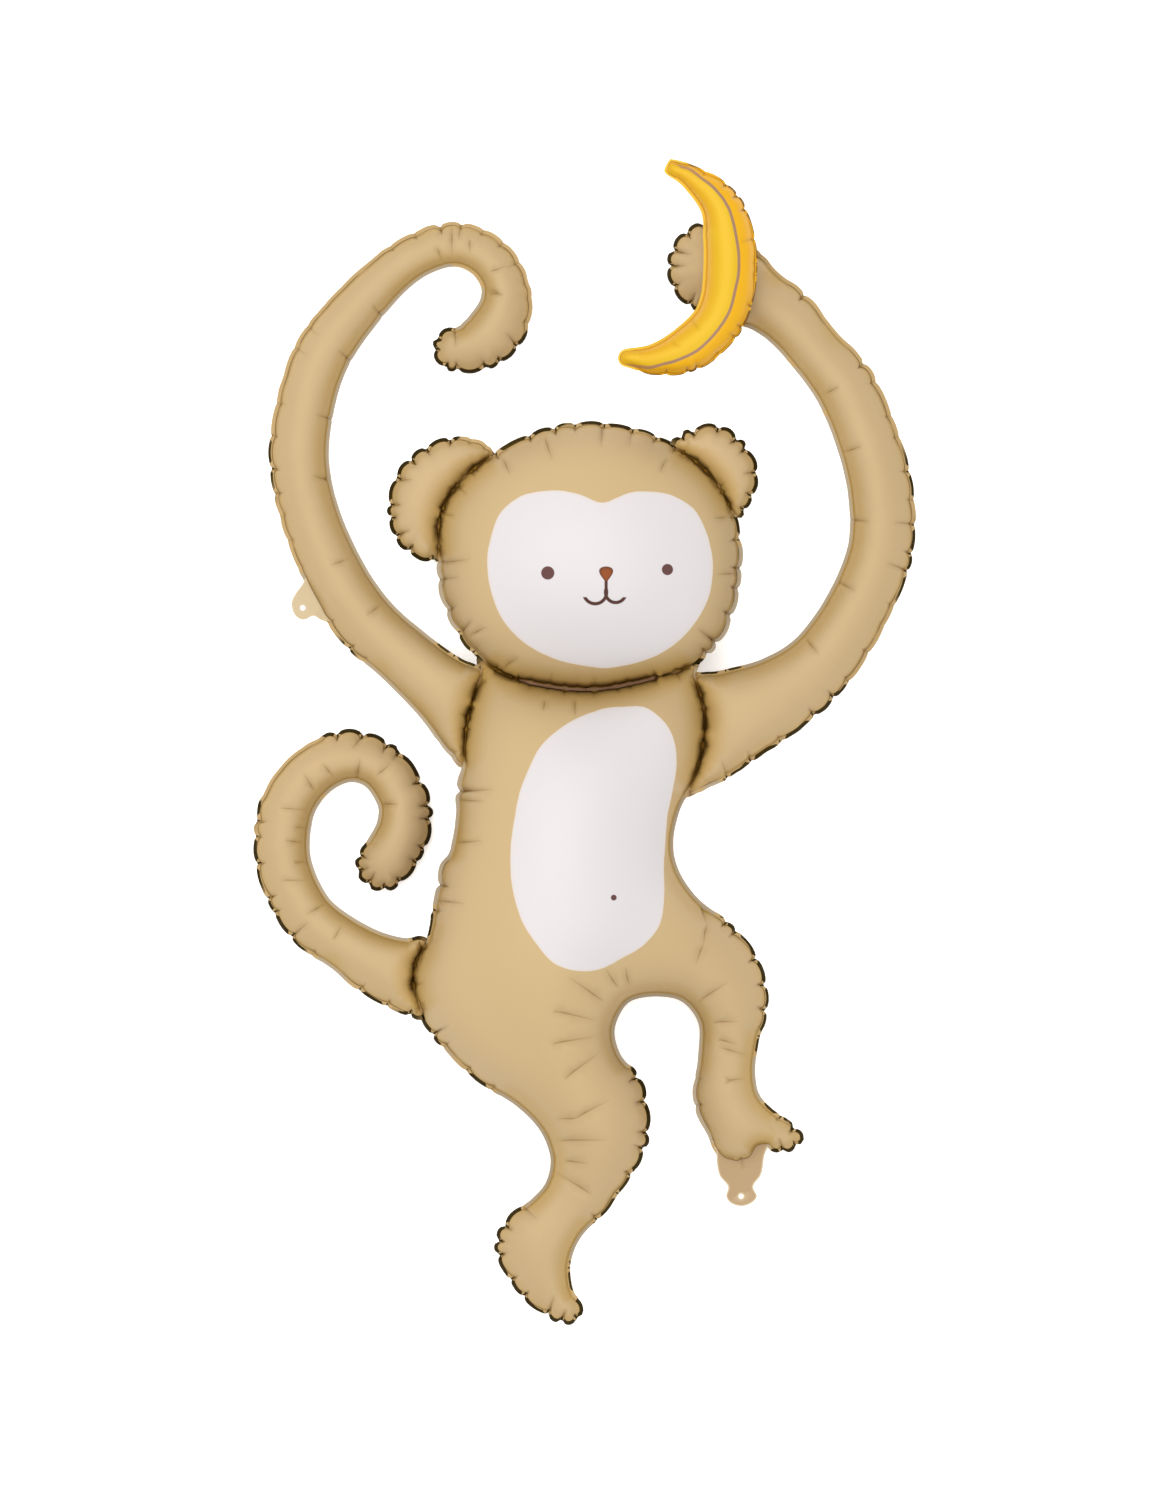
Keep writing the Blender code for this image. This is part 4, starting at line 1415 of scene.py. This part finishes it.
def monkeyFilmMaterial(looks):
    material, tree, grain = filmMaterial("beigeFoil")
    calc, times, step, mix = helpersFor(tree)
    film = mix(step(grain["Cloud"], *looks["cloudBand"]), looks["film"], looks["filmWarm"])
    # painted light: the film is lighter where the lobes rise highest
    film = mix(step(attribute(tree, "loft"), *looks["paintedLightBand"]), film, looks["filmPaintedLight"])
    # both tabs have a paler edge, and the filling tail is darker, partly for its double film and partly as
    # painted shade
    where = objectPlace(tree)
    parts = addNode(tree, "ShaderNodeSeparateXYZ", {0: where}).outputs
    tab = mix(step(parts["Y"], *looks["tailBand"]), looks["tab"], looks["fillingTail"])
    tab = mix(step(attribute(tree, "tabEdge"), *looks["tabRimBand"]), tab, looks["tabRim"])
    tones = seamTones(tree, looks, film, tab, grain)

    # printed patches, with a warm edge, and the marks on the front
    inPrint = calc("MAXIMUM", attribute(tree, "facePrint"), attribute(tree, "bellyPrint"))
    printed = step(inPrint, *looks["printBand"])
    white = mix(step(inPrint, *looks["printRimBand"]), looks["printRim"], looks["print"])
    colour = mix(printed, tones["Color"], white)
    front = attribute(tree, "frontFilm")
    for mask, tone in faceMarks(tree, looks, where, parts):
        colour = mix(times(mask, front), colour, tone)

    # more metallic under the painted shade
    metallic = calc("MULTIPLY_ADD", tones["PaintedShade"], looks["paintedShadeMetallic"], looks["metallic"])
    metallic = times(calc("SUBTRACT", 1.0, printed), metallic)
    smoother = looks["printRoughness"] - looks["roughness"]
    rough = calc("MULTIPLY_ADD", printed, smoother, grainRoughness(tree, looks, grain))
    finishFilm(tree, looks, colour, rough, metallic, grain["Height"])
    return material


def bananaFilmMaterial(looks):
    material, tree, grain = filmMaterial("yellowFoil")
    calc, times, step, mix = helpersFor(tree)
    ridge = attribute(tree, "ridgePrint")
    # one side of the printed ridge line is darker orange, as painted shade of the foil's side
    film = mix(step(ridge, *looks["sideBand"]), looks["sides"], looks["panel"])
    film = mix(step(calc("ABSOLUTE", ridge), *looks["lineBand"]), film, looks["line"])
    tones = seamTones(tree, looks, film, looks["rim"], grain)
    # less metallic under the painted shade
    metallic = times(calc("SUBTRACT", 1.0, tones["PaintedShade"]), looks["metallic"])
    finishFilm(tree, looks, tones["Color"], grainRoughness(tree, looks, grain), metallic, grain["Height"])
    return material


monkeyFilm.data.materials.append(monkeyFilmMaterial(monkeyLooks))
bananaFilm.data.materials.append(bananaFilmMaterial(bananaLooks))
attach(monkeyFilm, "root")
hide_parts("monkey_balloon")
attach(bananaFilm, "root")
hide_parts("banana_balloon")
print("materials on")

# Floor, light and camera

studio = {
    "floorSize": 14.0,
    "floor": (0.93, 0.93, 0.935, 1.0),
    "floorCloud": (0.90, 0.905, 0.915, 1.0),
    "floorRoughness": 0.85,
    "floorGrain": {"Grain Size": 260.0, "Cloud Size": 1.4},
    "sky": (1.0, 1.0, 1.0, 1.0),
    "floorGlow": 0.40,
    "skyStrength": 0.88,
    "lights": (
        ("KeyLight", (-1.6, 2.0, 5.8), 7.0, 400.0),  # place, size and power
        ("FillLight", (1.9, -2.8, 4.6), 4.0, 110.0),
    ),
    "cameraHeight": 30.0,
    "cameraReach": 100.0,
    "sensorWidth": 36.0,
    "photoHeight": 1500.0,
    "photoMiddle": (585.0, 750.0),
}
bpy.ops.object.select_all(action="DESELECT")
bpy.ops.mesh.primitive_plane_add(size=studio["floorSize"], location=(0.0, 0.0, 0.0))
floor = bpy.context.active_object
floor.name = "Floor"
floorMaterial = bpy.data.materials.new("paleFloor")
floorMaterial.use_nodes = True
floorTree = floorMaterial.node_tree
floorCloud = useGroup(floorTree, filmGrain, studio["floorGrain"])["Cloud"]
connect(floorTree, floorTree.nodes["Principled BSDF"], {
    "Base Color": blend(floorTree, floorCloud, studio["floor"], studio["floorCloud"]),
    "Roughness": studio["floorRoughness"],
    "Emission Color": studio["sky"],
    "Emission Strength": studio["floorGlow"],
})
floor.data.materials.append(floorMaterial)

world = bpy.data.worlds.new("Studio")
bpy.context.scene.world = world
world.use_nodes = True
skyTree = world.node_tree
connect(skyTree, skyTree.nodes["Background"], {"Color": studio["sky"], "Strength": studio["skyStrength"]})

for lightName, lightPlace, lightSize, lightPower in studio["lights"]:
    bpy.ops.object.light_add(type="AREA", location=lightPlace)
    light = bpy.context.active_object
    light.name = lightName
    light.data.shape = "DISK"
    light.data.size = lightSize
    light.data.energy = lightPower
    light.rotation_euler = (-Vector(lightPlace)).to_track_quat("-Z", "Y").to_euler()

cameraX, cameraY = placed(studio["photoMiddle"])
bpy.ops.object.camera_add(location=(cameraX, cameraY, studio["cameraHeight"]), rotation=(0.0, 0.0, 0.0))
camera = bpy.context.active_object
camera.name = "Camera"
camera.data.sensor_width = studio["sensorWidth"]
camera.data.lens = studio["sensorWidth"] * studio["cameraHeight"] / (studio["photoHeight"] * unit)
camera.data.clip_end = studio["cameraReach"]
bpy.context.scene.camera = camera
bpy.context.scene.view_settings.view_transform = "Standard"
